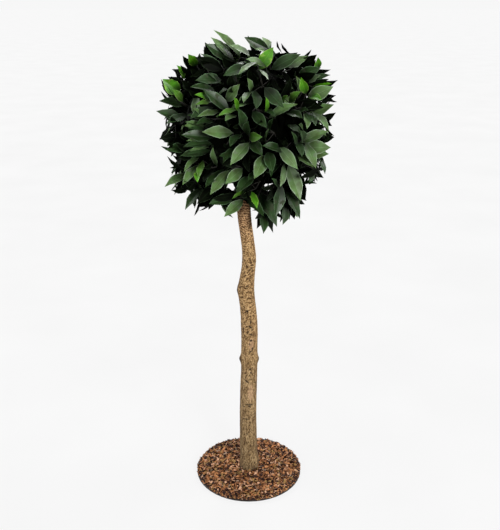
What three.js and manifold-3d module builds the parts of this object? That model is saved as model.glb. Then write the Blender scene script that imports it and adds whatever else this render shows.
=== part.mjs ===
// An artificial standard bay topiary: a clipped head of bay leaves on a clear wooden stem,
// which stands on a thin round plate covered with bark chips.
// Millimetres, +Z up. The origin is the middle of the plate's flat underside, and the
// side that faces -Y is the front.

import * as THREE from "three";
import { mergeVertices } from "three/addons/utils/BufferGeometryUtils.js";
import Module from "manifold-3d";

const wasm = await Module();
wasm.setup();

// The round stand
const PLATE_RADIUS = 165;
const PLATE_THICKNESS = 6;
const PLATE_BEVEL = 1;
const PLATE_SEGMENTS = 48;
const BED_RIM_DEPTH = 6; // bark chips above the plate at its rim
const BED_MIDDLE_DEPTH = 9; // and round the trunk
const BED_ROUGHNESS = 3; // how far single chips stand up or lie back
const BED_MARGIN = 1.5; // bare plate left outside the chips
const BED_BEVEL = 1; // how far the chips' rim leans in
const BED_NOISE = [12.9898, 78.233, 43758.5453]; // of the usual sine rule for uneven numbers
const BED_RINGS = 7;
const BED_SEGMENTS = 40;

// The trunk: the bends of its middle line, and its radius at some heights
const TRUNK_FOOT = PLATE_THICKNESS;
const TRUNK_TOP = 985;
const TRUNK_BENDS = [
  [0, 0, TRUNK_FOOT],
  [-2, 3, 205],
  [2, 0, 400],
  [1, -4, 530],
  [-7, 0, 625],
  [1, 5, 720],
  [-13, 2, 855],
  [-10, 0, TRUNK_TOP],
];
const TRUNK_GIRTH = [
  [TRUNK_FOOT, 28.5],
  [60, 27],
  [270, 25.5],
  [480, 24.5],
  [620, 23.5],
  [700, 20],
  [770, 18.5],
  [855, 19],
  [TRUNK_TOP, 13],
];
const TRUNK_SIDES = 14;
const TRUNK_STEPS = 42;
// Swollen scars where side shoots were cut off. An azimuth is measured from +X towards +Y.
const TRUNK_KNOTS = [
  { height: 397, azimuth: 182, rise: 5, spread: 12 },
  { height: 397, azimuth: -4, rise: 4.5, spread: 12 },
  { height: 622, azimuth: 190, rise: 3.5, spread: 16 },
  { height: 700, azimuth: 285, rise: 2.5, spread: 12 },
  { height: 500, azimuth: 275, rise: 2, spread: 12 },
  { height: 250, azimuth: 280, rise: 2, spread: 14 },
  { height: 300, azimuth: 75, rise: 3, spread: 13 },
  { height: 560, azimuth: 120, rise: 3, spread: 13 },
];

// The head of leaves
const CROWN_CENTRE = new THREE.Vector3(-6, 0, 1078);
const CROWN_HALF = new THREE.Vector3(238, 236, 246); // half its width, depth and height
const CROWN_SQUARENESS = 2.6; // 2 would be an ellipsoid, and more is squarer
const MASSES_PER_RING = 5;
const UPPER_ELEVATION = 28; // degrees, of the masses of each ring
const LOWER_ELEVATION = -32;
const UPPER_TURN = -90; // degrees, the azimuth of each ring's first mass
const LOWER_TURN = -54;
const HANGING_ELEVATION = -64; // of the low spray next to the trunk
const SPACE_MARGIN = 1; // left free on each side between two masses

// The boughs that carry the masses
const BOUGH_SIDES = 6;
const BOUGH_STEPS = 4;
const BOUGH_ROOT_RADIUS = 8;
const BOUGH_TIP_RADIUS = 5;
const LEADER_ROOT_RADIUS = 11;
const BOUGH_END = 58; // how far from the crown's centre each bough ends
const UPPER_BOUGH_ROOT = 966; // heights at which the boughs leave the trunk
const LOWER_BOUGH_ROOT = 930;
const BOUGH_RISE = 50; // degrees above level at which a bough leaves the trunk
const BOUGH_LEAVING = 0.4; // shares of its length over which it keeps to that slope
const BOUGH_ARRIVING = 0.2; // and to its mass's direction
const BOUGH_SINK = 4; // how deep in the trunk a bough's line starts, before it is cut clear
const CLEARANCE = 0.3; // between two pieces that meet

// A mass: its stem, its sprays, and its part of the dense core that they stand out of
const STEM_RADIUS = 4.5;
const STEM_SIDES = 6;
const TWIGS_FROM = [124, 134]; // where twigs leave the stem, from the crown's centre
const CORE_OUTSIDE = 0.69; // shares of the leaves' reach
const CORE_INSIDE = 0.5;
const CORE_LUMPS = 0.06; // share of its radius
const CORE_WAVES = [9, 7, 8]; // how fast the lumps follow each other
const CORE_DETAIL = 2; // splits of each edge of an icosahedron
const WELL_RADIUS = 95; // of the core's opening round the trunk
const WELL_SIDES = 20;
const SPRAYS = 10; // tried on each mass, of which those outside its space are left out
const SPRAY_TILT_MOST = 35; // degrees from a mass's direction
const SPRAY_TILT_SPREAD = 5; // degrees
const SPRAY_BEARING_SPREAD = 18; // degrees
const REACH_SPREAD = 0.07; // share of the crown's reach
const SPRAY_DEPTH = 57; // from a twig's tip to the reach of its leaves
const TWIG_RADIUS = 2.6;
const TWIG_TIP_RADIUS = 1.6;
const LEAVES_PER_SPRAY = 4;
const LEAF_LENGTH = 98; // of the longest, lowest leaves of a spray
const YOUNG_LEAF_SHARE = 0.68; // of that length, at the twig's tip
const LEAF_ASPECT = 0.42; // width over length
const LEAF_THICKNESS = 1.3;
const LEAF_SPACING = 8; // along the twig
const LEAF_WIDEST = 0.45; // share of its length
const LEAF_ARCH = 0.08; // how far its middle rises, as a share of its length
const LEAF_FOLD = 0.2; // how far its edges stand above its midrib, as a share of its width
const LEAF_TILT = [30, 86]; // degrees from the twig, of the youngest and the oldest leaf
const LEAF_TILT_SPREAD = 14; // degrees
const LEAF_BEARING_SPREAD = 20; // degrees
const LEAF_LENGTH_RANGE = [0.92, 1.08]; // shares of its usual length
const FIRST_LEAF = 0.6; // spacings between a twig's tip and its youngest leaf
const LEAF_TOUCH = 3; // the least distance between a leaf and a limb
const LEAF_SAG = 0.2; // how much leaves hang on a level twig
const LEAF_SAG_LIFT = 0.3; // how much less they hang on an upright one
const LEAF_SAG_MOST = 0.6;
const LEAF_SAG_RANGE = [0.7, 1.3]; // shares of its usual sag
const LEAF_TRIES = 9; // places tried for a leaf that would cross others or leave its space
const LEAF_TRY_TURN = 40; // degrees round the twig between those places
const LEAF_TRY_RISE = 2.5; // degrees by which each is nearer to the twig
const LEAF_TRY_LENGTH = 0.97; // of the try before
const SPRAY_UPRIGHT = 1.6; // how much a spray's axis keeps to the crown's radius
const CROSSING_VOLUME = 1; // cubic millimetres that two leaves may share near their roots
const FIRST_SEED = 177;
const SEED_STEP = 37; // from each mass's seed to the next
const ONE_PLACE = 1e-4; // corners nearer to each other than this are one
const GRID = 0.002; // that the finished solids' corners lie on
const GOLDEN_ANGLE = 137.508; // degrees from each leaf to the next round a twig

// How the limbs are sampled to keep leaves off them
const LOWEST_LEAF = 760; // height
const TRUNK_SAMPLE_STEP = 10;
const BOUGH_SAMPLES = 12;

const UP = new THREE.Vector3(0, 0, 1);
const radians = THREE.MathUtils.degToRad;
const mix = THREE.MathUtils.lerp;
const clamp = THREE.MathUtils.clamp;

// Even numbers from 0 to 1 by a 32-bit linear congruential rule, the same on each run.
function seededNumbers(seed) {
  let state = seed >>> 0;
  return () => {
    state = (Math.imul(state, 1664525) + 1013904223) >>> 0;
    return state / 4294967296;
  };
}

// An even number round 0 that is at most half the width away from it.
const spread = (next, width) => width * (next() - 0.5);

// A unit vector from its azimuth and elevation in degrees.
function directionOf(azimuth, elevation) {
  const level = Math.cos(radians(elevation));
  return new THREE.Vector3(
    level * Math.cos(radians(azimuth)),
    level * Math.sin(radians(azimuth)),
    Math.sin(radians(elevation)),
  );
}

// The direction that leans from axis by tilt degrees, at a bearing round it.
function leaning(axis, tilt, bearing) {
  const helper = Math.abs(axis.z) > 0.9 ? new THREE.Vector3(1, 0, 0) : UP;
  const side = new THREE.Vector3().crossVectors(helper, axis).normalize();
  side.applyAxisAngle(axis, radians(bearing));
  return axis.clone().multiplyScalar(Math.cos(radians(tilt))).addScaledVector(side, Math.sin(radians(tilt)));
}

function closedSolid(geometry) {
  const bare = geometry.clone();
  bare.deleteAttribute("normal");
  bare.deleteAttribute("uv");
  const merged = mergeVertices(bare, ONE_PLACE);
  return new wasm.Manifold(
    new wasm.Mesh({
      numProp: 3,
      vertProperties: merged.attributes.position.array,
      triVerts: new Uint32Array(merged.index.array),
    }),
  );
}

function geometryOf(solid) {
  const mesh = solid.getMesh();
  const geometry = new THREE.BufferGeometry();
  geometry.setAttribute("position", new THREE.BufferAttribute(mesh.vertProperties, 3));
  return geometry.setIndex(new THREE.BufferAttribute(mesh.triVerts, 1));
}

function largestBody(solid) {
  return solid.decompose().reduce((best, body) => (body.volume() > best.volume() ? body : best));
}

// One body from many solids. A loose scrap, or the shell of a sealed hollow, is left out.
const fused = (solids) => largestBody(solids.reduce((whole, solid) => whole.add(solid)));

// Sets each corner of a geometry on a fine grid. The faces that this closes up are dropped:
// those with two corners in one place, and pairs that lie back to back.
function onGrid(geometry) {
  const places = geometry.attributes.position;
  places.array.forEach((value, i) => (places.array[i] = Math.round(value / GRID) * GRID));
  const merged = mergeVertices(geometry, GRID / 2);
  const faces = new Map();
  for (let i = 0; i < merged.index.count; i += 3) {
    const face = [0, 1, 2].map((corner) => merged.index.getX(i + corner));
    const key = face.toSorted((a, b) => a - b).join();
    if (new Set(face).size === 3 && !faces.delete(key)) faces.set(key, face);
  }
  return merged.setIndex([...faces.values()].flat());
}

function shapeOf(solid) {
  const clean = largestBody(closedSolid(onGrid(geometryOf(solid))));
  const faceted = geometryOf(clean).toNonIndexed();
  faceted.computeVertexNormals();
  return faceted;
}

// Moves each corner of a geometry by a rule that changes the vector it is given.
function moved(geometry, rule) {
  const places = geometry.attributes.position;
  const point = new THREE.Vector3();
  for (let i = 0; i < places.count; i++) {
    rule(point.fromBufferAttribute(places, i));
    places.setXYZ(i, point.x, point.y, point.z);
  }
  return geometry;
}

// The value at x on a smooth line through [x, value] pairs, level at each of them.
function onProfile(pairs, x) {
  const next = pairs.findIndex(([at]) => at >= x);
  if (next < 1) return next ? pairs.at(-1)[1] : pairs[0][1];
  const [[x0, v0], [x1, v1]] = [pairs[next - 1], pairs[next]];
  return mix(v0, v1, THREE.MathUtils.smoothstep(x, x0, x1));
}

const trunkLine = new THREE.CatmullRomCurve3(
  TRUNK_BENDS.map(([x, y, z]) => new THREE.Vector3(x, y, z)),
  false,
  "centripetal",
);

// The middle of the trunk at a height, found by halving, since its line always climbs.
function trunkMiddle(height) {
  let [low, high] = [0, 1];
  const halvings = 24;
  for (let i = 0; i < halvings; i++) {
    const middle = (low + high) / 2;
    if (trunkLine.getPoint(middle).z < height) low = middle;
    else high = middle;
  }
  return trunkLine.getPoint(low).setZ(height);
}

function trunkRadius(height, azimuth) {
  const plain = onProfile(TRUNK_GIRTH, height);
  return TRUNK_KNOTS.reduce((radius, knot) => {
    const turn = THREE.MathUtils.euclideanModulo(azimuth - knot.azimuth + 180, 360) - 180;
    const round = (radians(turn) * plain) / knot.spread;
    const along = (height - knot.height) / knot.spread;
    return radius + knot.rise * Math.exp(-round * round - along * along);
  }, plain);
}

// The trunk as a bent cylinder with level rings. Extra thickens it, for cutting others clear.
function trunkSolid(extra = 0) {
  const cylinder = new THREE.CylinderGeometry(1, 1, 1, TRUNK_SIDES, TRUNK_STEPS);
  moved(cylinder, (point) => {
    const share = point.y + 0.5;
    const height = mix(TRUNK_FOOT - extra, TRUNK_TOP + extra, share);
    const middle = trunkMiddle(clamp(height, TRUNK_FOOT, TRUNK_TOP));
    const across = new THREE.Vector3(point.x, -point.z, 0);
    const azimuth = THREE.MathUtils.radToDeg(Math.atan2(across.y, across.x));
    const radius = across.length() > 0.5 ? trunkRadius(height, azimuth) + extra : 0;
    point.copy(middle).setZ(height).addScaledVector(across, radius);
  });
  return closedSolid(cylinder);
}

// A tapering limb along a curve, as a bent cylinder whose rings stand across the curve. They all
// keep to one direction across its chord, so that they don't twist.
function limbSolid(curve, rootRadius, tipRadius, sides, steps) {
  const chord = curve.getPoint(1).sub(curve.getPoint(0)).normalize();
  const helper = Math.abs(chord.z) > 0.9 ? new THREE.Vector3(1, 0, 0) : UP;
  const across = new THREE.Vector3().crossVectors(chord, helper);
  const cylinder = new THREE.CylinderGeometry(1, 1, 1, sides, steps);
  moved(cylinder, (point) => {
    const share = point.y + 0.5;
    const along = curve.getTangentAt(share);
    const side = across.clone().projectOnPlane(along).normalize();
    const other = new THREE.Vector3().crossVectors(side, along);
    const radius = mix(rootRadius, tipRadius, share);
    const [x, z] = [point.x * radius, point.z * radius];
    point.copy(curve.getPointAt(share)).addScaledVector(side, x).addScaledVector(other, z);
  });
  return closedSolid(cylinder);
}

// The reach of the leaves from the crown's centre, on a rounded block (a superellipsoid).
function crownReach(direction) {
  const power = CROWN_SQUARENESS;
  const sum =
    Math.abs(direction.x / CROWN_HALF.x) ** power +
    Math.abs(direction.y / CROWN_HALF.y) ** power +
    Math.abs(direction.z / CROWN_HALF.z) ** power;
  return sum ** (-1 / power);
}

const fromCentre = (direction, distance) => CROWN_CENTRE.clone().addScaledVector(direction, distance);

// Each mass of foliage: its name, the way it lies from the crown's centre, and its bough's root.
function listMasses() {
  const masses = [{ name: "top", direction: UP.clone(), hanging: false }];
  const rings = [
    ["upper", UPPER_ELEVATION, UPPER_TURN, UPPER_BOUGH_ROOT, false],
    ["lower", LOWER_ELEVATION, LOWER_TURN, LOWER_BOUGH_ROOT, true],
  ];
  for (const [ring, elevation, turn, rootHeight, hanging] of rings) {
    for (let i = 0; i < MASSES_PER_RING; i++) {
      const azimuth = turn + (i * 360) / MASSES_PER_RING;
      const direction = directionOf(azimuth, elevation);
      masses.push({ name: `${ring}_${i + 1}`, direction, azimuth, rootHeight, hanging });
    }
  }
  masses.forEach((mass, index) => (mass.seed = FIRST_SEED + SEED_STEP * index));
  return masses;
}

const masses = listMasses();

// A bough's middle line: out of the trunk's side, or on from its tip for the leader.
function boughLine(mass) {
  const end = fromCentre(mass.direction, BOUGH_END);
  if (mass.rootHeight === undefined) {
    const start = trunkMiddle(TRUNK_TOP).setZ(TRUNK_TOP + CLEARANCE);
    const lift = (end.z - start.z) / 2;
    const bends = [start, start.clone().setZ(start.z + lift), end.clone().setZ(end.z - lift), end];
    return new THREE.CubicBezierCurve3(...bends);
  }
  const outward = directionOf(mass.azimuth, 0);
  const depth = onProfile(TRUNK_GIRTH, mass.rootHeight) - BOUGH_SINK;
  const start = trunkMiddle(mass.rootHeight).addScaledVector(outward, depth);
  const length = start.distanceTo(end);
  const slope = directionOf(mass.azimuth, BOUGH_RISE);
  const leaving = start.clone().addScaledVector(slope, length * BOUGH_LEAVING);
  const arriving = end.clone().addScaledVector(mass.direction, -length * BOUGH_ARRIVING);
  return new THREE.CubicBezierCurve3(start, leaving, arriving, end);
}

function boughSolid(mass, cutter) {
  const rootRadius = mass.rootHeight === undefined ? LEADER_ROOT_RADIUS : BOUGH_ROOT_RADIUS;
  const limb = limbSolid(boughLine(mass), rootRadius, BOUGH_TIP_RADIUS, BOUGH_SIDES, BOUGH_STEPS);
  return fused([limb.subtract(cutter)]);
}

// Points down the middle of each limb with the limb's radius there, for keeping leaves off.
function limbSamples() {
  const samples = [];
  for (let height = LOWEST_LEAF; height <= TRUNK_TOP; height += TRUNK_SAMPLE_STEP) {
    samples.push({ middle: trunkMiddle(height), radius: onProfile(TRUNK_GIRTH, height) });
  }
  for (const mass of masses) {
    for (const middle of boughLine(mass).getSpacedPoints(BOUGH_SAMPLES)) {
      samples.push({ middle, radius: BOUGH_ROOT_RADIUS });
    }
  }
  return samples;
}

const limbs = limbSamples();

const touchesLimb = (point) =>
  limbs.some(({ middle, radius }) => point.distanceTo(middle) < radius + LEAF_TOUCH);

// Whether a point lies in a mass's own space: nearer to its direction than to any other's.
function inSpace(mass, point, margin = SPACE_MARGIN) {
  const offset = point.clone().sub(CROWN_CENTRE);
  return masses.every((other) => {
    if (other === mass) return true;
    const across = mass.direction.clone().sub(other.direction).normalize();
    return offset.dot(across) >= margin;
  });
}

// A leaf as an octahedron drawn out: root, tip, two edges, and the midrib above and below.
function leafSolid(leaf) {
  const width = leaf.length * LEAF_ASPECT;
  const octahedron = moved(new THREE.OctahedronGeometry(1), (point) => {
    const { x, y, z } = point;
    const share = x > 0 ? mix(LEAF_WIDEST, 1, x) : mix(LEAF_WIDEST, 0, -x);
    const rise = LEAF_ARCH * leaf.length * (1 - x * x) + LEAF_FOLD * width * Math.abs(y);
    point.set(share * leaf.length, (y * width) / 2, rise + (z * LEAF_THICKNESS) / 2);
  });
  const across = new THREE.Vector3().crossVectors(leaf.up, leaf.along);
  const place = new THREE.Matrix4().makeBasis(leaf.along, across, leaf.up).setPosition(leaf.root);
  return closedSolid(octahedron.applyMatrix4(place));
}

// The outline of a leaf, to test it against its space and the limbs.
function leafOutline(leaf) {
  const across = new THREE.Vector3().crossVectors(leaf.up, leaf.along);
  const half = (leaf.length * LEAF_ASPECT) / 2;
  const middle = leaf.root.clone().addScaledVector(leaf.along, leaf.length * LEAF_WIDEST);
  middle.addScaledVector(leaf.up, leaf.length * LEAF_ARCH);
  const edge = middle.clone().addScaledVector(leaf.up, 2 * half * LEAF_FOLD);
  return [
    middle,
    edge.clone().addScaledVector(across, half),
    edge.clone().addScaledVector(across, -half),
    leaf.root.clone().addScaledVector(leaf.along, leaf.length),
  ];
}

// The twigs of a mass. Each leaves the stem at its own place and ends in a spray of leaves.
function spraysOf(mass, next) {
  const directions = [];
  for (let i = 0; i < SPRAYS; i++) {
    const tilt = SPRAY_TILT_MOST * Math.sqrt((i + 0.5) / SPRAYS) + spread(next, SPRAY_TILT_SPREAD);
    const bearing = i * GOLDEN_ANGLE + spread(next, SPRAY_BEARING_SPREAD);
    directions.push(leaning(mass.direction, tilt, bearing));
  }
  if (mass.hanging) directions.push(directionOf(mass.azimuth, HANGING_ELEVATION));
  const sprays = directions.map((direction) => {
    const reach = crownReach(direction) * (1 + spread(next, REACH_SPREAD));
    const tip = fromCentre(direction, reach - SPRAY_DEPTH);
    const root = fromCentre(mass.direction, mix(...TWIGS_FROM, next()));
    const twig = tip.clone().sub(root).normalize();
    const axis = twig.clone().addScaledVector(direction, SPRAY_UPRIGHT).normalize();
    return { root, tip, twig, axis, turn: 360 * next() };
  });
  return sprays.filter(({ tip }) => inSpace(mass, tip, SPACE_MARGIN + TWIG_RADIUS));
}

// The habits of a spray's leaves, from the young upright one at the tip to the old spreading ones.
function leavesOf(spray, next) {
  const leaves = [];
  for (let i = 0; i < LEAVES_PER_SPRAY; i++) {
    const age = i / (LEAVES_PER_SPRAY - 1);
    const tilt = mix(...LEAF_TILT, age) + spread(next, LEAF_TILT_SPREAD);
    const bearing = spray.turn + i * GOLDEN_ANGLE + spread(next, LEAF_BEARING_SPREAD);
    const grown = LEAF_LENGTH * mix(YOUNG_LEAF_SHARE, 1, Math.sqrt(age));
    const length = grown * mix(...LEAF_LENGTH_RANGE, next());
    const hang = clamp(LEAF_SAG - LEAF_SAG_LIFT * spray.axis.z, 0, LEAF_SAG_MOST);
    const sag = hang * mix(...LEAF_SAG_RANGE, next());
    const below = (i + FIRST_LEAF) * LEAF_SPACING;
    const root = spray.tip.clone().addScaledVector(spray.twig, -below);
    leaves.push({ root, tilt, bearing, length, sag });
  }
  return leaves;
}

// A leaf's place on its twig at an attempt: which way it points, and which way its top faces.
function placedLeaf(spray, habit, attempt) {
  const tilt = habit.tilt - attempt * LEAF_TRY_RISE;
  const straight = leaning(spray.axis, tilt, habit.bearing + attempt * LEAF_TRY_TURN);
  const along = straight.addScaledVector(UP, -habit.sag).normalize();
  const across = new THREE.Vector3().crossVectors(spray.axis, along).normalize();
  const up = new THREE.Vector3().crossVectors(along, across);
  const length = habit.length * LEAF_TRY_LENGTH ** attempt;
  return { root: habit.root, along, up, length };
}

// A lumpy closed form of the crown's shape, at a share of the leaves' reach.
function crownForm(share, detail) {
  const [u, v, w] = CORE_WAVES;
  const form = moved(new THREE.IcosahedronGeometry(1, detail), (point) => {
    const lump = Math.sin(u * point.x) * Math.cos(v * point.y) * Math.sin(w * point.z);
    point.multiplyScalar(crownReach(point) * share * (1 + CORE_LUMPS * lump)).add(CROWN_CENTRE);
  });
  return closedSolid(form);
}

// The shell that all the masses' cores are cut from, with an opening below for the trunk.
function crownShell() {
  const length = 2 * CROWN_HALF.z;
  const well = new THREE.CylinderGeometry(WELL_RADIUS, WELL_RADIUS, length, WELL_SIDES);
  well.rotateX(Math.PI / 2).translate(CROWN_CENTRE.x, CROWN_CENTRE.y, CROWN_CENTRE.z - length / 2);
  const hollow = crownForm(CORE_INSIDE, 1);
  return crownForm(CORE_OUTSIDE, CORE_DETAIL).subtract(hollow).subtract(closedSolid(well));
}

// A block that fills what lies beyond the border between a mass and another.
function beyondBorder(mass, other) {
  const size = 4 * CROWN_HALF.z;
  const across = mass.direction.clone().sub(other.direction).normalize();
  const block = new THREE.BoxGeometry(size, size, size).translate(SPACE_MARGIN - size / 2, 0, 0);
  const turn = new THREE.Quaternion().setFromUnitVectors(new THREE.Vector3(1, 0, 0), across);
  return closedSolid(block.applyQuaternion(turn).translate(...CROWN_CENTRE));
}

// The dense core of a mass: what the crown's shell has in the mass's own space.
function coreSolid(mass) {
  const others = masses.filter((other) => other !== mass);
  return others.reduce((core, other) => core.subtract(beyondBorder(mass, other)), shell);
}

// A leaf at the first turn round its twig that keeps to its space and crosses no other leaf.
function clearLeaf(mass, spray, habit, blades) {
  for (let attempt = 0; attempt < LEAF_TRIES; attempt++) {
    const leaf = placedLeaf(spray, habit, attempt);
    if (!leafOutline(leaf).every((point) => inSpace(mass, point) && !touchesLimb(point))) continue;
    const solid = leafSolid(leaf);
    if (!blades || solid.intersect(blades).volume() < CROSSING_VOLUME) return solid;
  }
  return null;
}

function massSolid(mass) {
  const next = seededNumbers(mass.seed);
  const stemLine = new THREE.LineCurve3(
    fromCentre(mass.direction, BOUGH_END + CLEARANCE),
    fromCentre(mass.direction, TWIGS_FROM[1]),
  );
  const wood = [limbSolid(stemLine, STEM_RADIUS, STEM_RADIUS, STEM_SIDES, 1), coreSolid(mass)];
  let blades = null;
  for (const spray of spraysOf(mass, next)) {
    const twigLine = new THREE.LineCurve3(spray.root, spray.tip);
    wood.push(limbSolid(twigLine, TWIG_RADIUS, TWIG_TIP_RADIUS, 3, 1));
    for (const habit of leavesOf(spray, next)) {
      const leaf = clearLeaf(mass, spray, habit, blades);
      if (leaf) blades = blades ? blades.add(leaf) : leaf;
    }
  }
  return fused([...wood, blades]);
}

function plateShape() {
  const [radius, top] = [PLATE_RADIUS, PLATE_THICKNESS];
  const profile = [
    [0, 0],
    [radius - PLATE_BEVEL, 0],
    [radius, PLATE_BEVEL],
    [radius, top - PLATE_BEVEL],
    [radius - PLATE_BEVEL, top],
    [0, top],
  ].map(([r, z]) => new THREE.Vector2(r, z));
  return new THREE.LatheGeometry(profile, PLATE_SEGMENTS).rotateX(Math.PI / 2);
}

// From 0 to 1, uneven from place to place and the same wherever two faces share a corner.
function unevenness(x, y) {
  const [u, v, size] = BED_NOISE;
  const wave = Math.sin(Math.round(x * 10) * u + Math.round(y * 10) * v) * size;
  return wave - Math.floor(wave);
}

// The layer of bark chips: a low mound with an uneven top, cut clear of the trunk.
function bedSolid(cutter) {
  const radius = PLATE_RADIUS - BED_MARGIN;
  const profile = [new THREE.Vector2(0, PLATE_THICKNESS), new THREE.Vector2(radius, PLATE_THICKNESS)];
  for (let i = BED_RINGS; i >= 0; i--) {
    const share = i / BED_RINGS;
    const depth = mix(BED_MIDDLE_DEPTH, BED_RIM_DEPTH, share * share);
    profile.push(new THREE.Vector2((radius - BED_BEVEL) * share, PLATE_THICKNESS + depth));
  }
  const mound = new THREE.LatheGeometry(profile, BED_SEGMENTS).rotateX(Math.PI / 2);
  moved(mound, (point) => {
    if (point.z > PLATE_THICKNESS) {
      point.z += BED_ROUGHNESS * (unevenness(point.x, point.y) - 0.5) * 2;
    }
  });
  return fused([closedSolid(mound).subtract(cutter)]);
}

function finish(colour, roughness, metalness = 0) {
  return new THREE.MeshStandardMaterial({ color: colour, roughness, metalness, flatShading: true });
}

const plateFinish = finish(0x2b2623, 0.6, 0.4);
const chipFinish = finish(0x8a5f45, 0.95);
const barkFinish = finish(0x9c7d55, 0.9);
const leafFinish = finish(0x2f4d2e, 0.5);

function named(name, shape, material) {
  const mesh = new THREE.Mesh(shape, material);
  mesh.name = name;
  return mesh;
}

const tree = new THREE.Group();
const trunkCutter = trunkSolid(CLEARANCE);
const shell = crownShell();
tree.add(named("base_plate", plateShape(), plateFinish));
tree.add(named("bark_chip_bed", shapeOf(bedSolid(trunkCutter)), chipFinish));
tree.add(named("trunk", shapeOf(trunkSolid()), barkFinish));
for (const mass of masses) {
  tree.add(named(`bough_${mass.name}`, shapeOf(boughSolid(mass, trunkCutter)), barkFinish));
  tree.add(named(`foliage_${mass.name}`, shapeOf(massSolid(mass)), leafFinish));
}

export default tree;
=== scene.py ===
"""The looks of an artificial standard bay topiary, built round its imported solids.

A clipped head of bay leaves stands on a clear wooden stem, on a round plate of bark chips. Metres,
+Z up, the origin in the middle of the plate's flat underside, and the front towards -Y.
"""

import logging
import math
from dataclasses import dataclass, field
from enum import Enum
from functools import cached_property
from typing import Callable, Sequence

import bpy
import numpy as np
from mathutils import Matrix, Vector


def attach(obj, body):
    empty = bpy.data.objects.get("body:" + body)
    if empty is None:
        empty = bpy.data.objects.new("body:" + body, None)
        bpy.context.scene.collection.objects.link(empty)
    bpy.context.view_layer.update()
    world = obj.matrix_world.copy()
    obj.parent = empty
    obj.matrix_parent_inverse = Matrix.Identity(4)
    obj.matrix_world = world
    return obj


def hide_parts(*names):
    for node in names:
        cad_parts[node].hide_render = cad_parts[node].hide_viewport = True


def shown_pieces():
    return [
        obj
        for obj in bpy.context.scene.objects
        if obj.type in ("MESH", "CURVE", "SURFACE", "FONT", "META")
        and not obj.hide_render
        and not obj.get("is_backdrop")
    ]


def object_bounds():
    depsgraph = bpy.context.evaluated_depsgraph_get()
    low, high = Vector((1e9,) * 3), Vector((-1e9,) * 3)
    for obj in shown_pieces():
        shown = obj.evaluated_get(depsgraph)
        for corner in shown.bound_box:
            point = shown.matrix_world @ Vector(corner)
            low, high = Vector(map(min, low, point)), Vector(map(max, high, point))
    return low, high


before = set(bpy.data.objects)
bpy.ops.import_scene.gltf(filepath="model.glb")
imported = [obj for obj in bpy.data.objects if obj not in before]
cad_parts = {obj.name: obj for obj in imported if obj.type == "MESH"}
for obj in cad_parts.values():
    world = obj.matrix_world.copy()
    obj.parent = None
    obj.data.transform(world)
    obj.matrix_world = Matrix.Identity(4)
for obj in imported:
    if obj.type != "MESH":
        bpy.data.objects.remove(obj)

Array = np.ndarray
Pair = tuple[float, float]
Triple = tuple[float, float, float]
CAD_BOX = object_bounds()
MM = 0.001
GOLDEN_ANGLE = 137.508
UP = np.array([0.0, 0.0, 1.0])
STEEP = 0.9

logging.basicConfig(level=logging.INFO, format="%(message)s")
log = logging.getLogger("topiary")


# Numbers, directions and lines


class EvenNumbers:
    """Even numbers from 0 to 1 by a 32-bit linear congruential rule, as the solids' source has."""

    def __init__(self, seed: int) -> None:
        """Starts the rule at a seed."""
        self.state = seed & 0xFFFFFFFF

    def next(self) -> float:
        """The next number."""
        self.state = (self.state * 1664525 + 1013904223) & 0xFFFFFFFF
        return self.state / 4294967296

    def spread(self, width: float) -> float:
        """The next number round 0, at most half the width away from it."""
        return width * (self.next() - 0.5)


def unit(vectors: Array) -> Array:
    """Vectors of length 1, along the last axis."""
    return vectors / np.maximum(np.linalg.norm(vectors, axis=-1, keepdims=True), 1e-12)


def square_to(axis: Array, vectors: Array) -> Array:
    """The parts of vectors that stand square to unit axes, brought to length 1."""
    return unit(vectors - axis * np.sum(vectors * axis, -1, keepdims=True))


def mix(low: Array | float, high: Array | float, share: Array | float) -> Array | float:
    """The value at a share of the way from low to high."""
    return low + (high - low) * share


def smoothstep(low: float, high: float, value: Array) -> Array:
    """0 below low, 1 above high, and 3t^2 - 2t^3 between them."""
    share = np.clip((value - low) / (high - low), 0, 1)
    return share * share * (3 - 2 * share)


def direction_of(azimuth: float, elevation: float) -> Array:
    """A unit vector from its azimuth, from +X towards +Y, and its elevation in degrees."""
    turn, rise = math.radians(azimuth), math.radians(elevation)
    return np.array([math.cos(rise) * math.cos(turn), math.cos(rise) * math.sin(turn), math.sin(rise)])


def away_from(axis: Array) -> Array:
    """A direction well away from each unit axis: +X for steep axes, and up for all others."""
    return np.where(np.abs(axis[..., 2:3]) > STEEP, np.array([1.0, 0.0, 0.0]), UP)


def leaning(axis: Array, tilt: Array | float, bearing: Array | float) -> Array:
    """Directions that lean from axes by tilt degrees, at bearings round them.

    The axis times cos(tilt), plus sin(tilt) times a side vector, which is turned round the axis by
    the bearing from the level direction across it.

    Args:
        axis: Unit vectors, along the last axis.
        tilt: Degrees from the axis.
        bearing: Degrees round the axis.

    Returns:
        The unit vectors.
    """
    side = unit(np.cross(away_from(axis), axis))
    turn = np.radians(np.asarray(bearing, float))[..., None]
    lean = np.radians(np.asarray(tilt, float))[..., None]
    turned = side * np.cos(turn) + np.cross(axis, side) * np.sin(turn)
    return axis * np.cos(lean) + turned * np.sin(lean)


def bezier(points: Sequence[Array], count: int) -> Array:
    """Points along a Bezier curve, by repeated mixing of its control points.

    Args:
        points: The control points.
        count: How many points to give.

    Returns:
        The points, evenly spaced in the curve's own parameter.
    """
    share = np.linspace(0, 1, count)[:, None]
    level = [np.broadcast_to(point, (count, 3)) for point in points]
    while len(level) > 1:
        level = [mix(a, b, share) for a, b in zip(level[:-1], level[1:])]
    return np.array(level[0])


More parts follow.
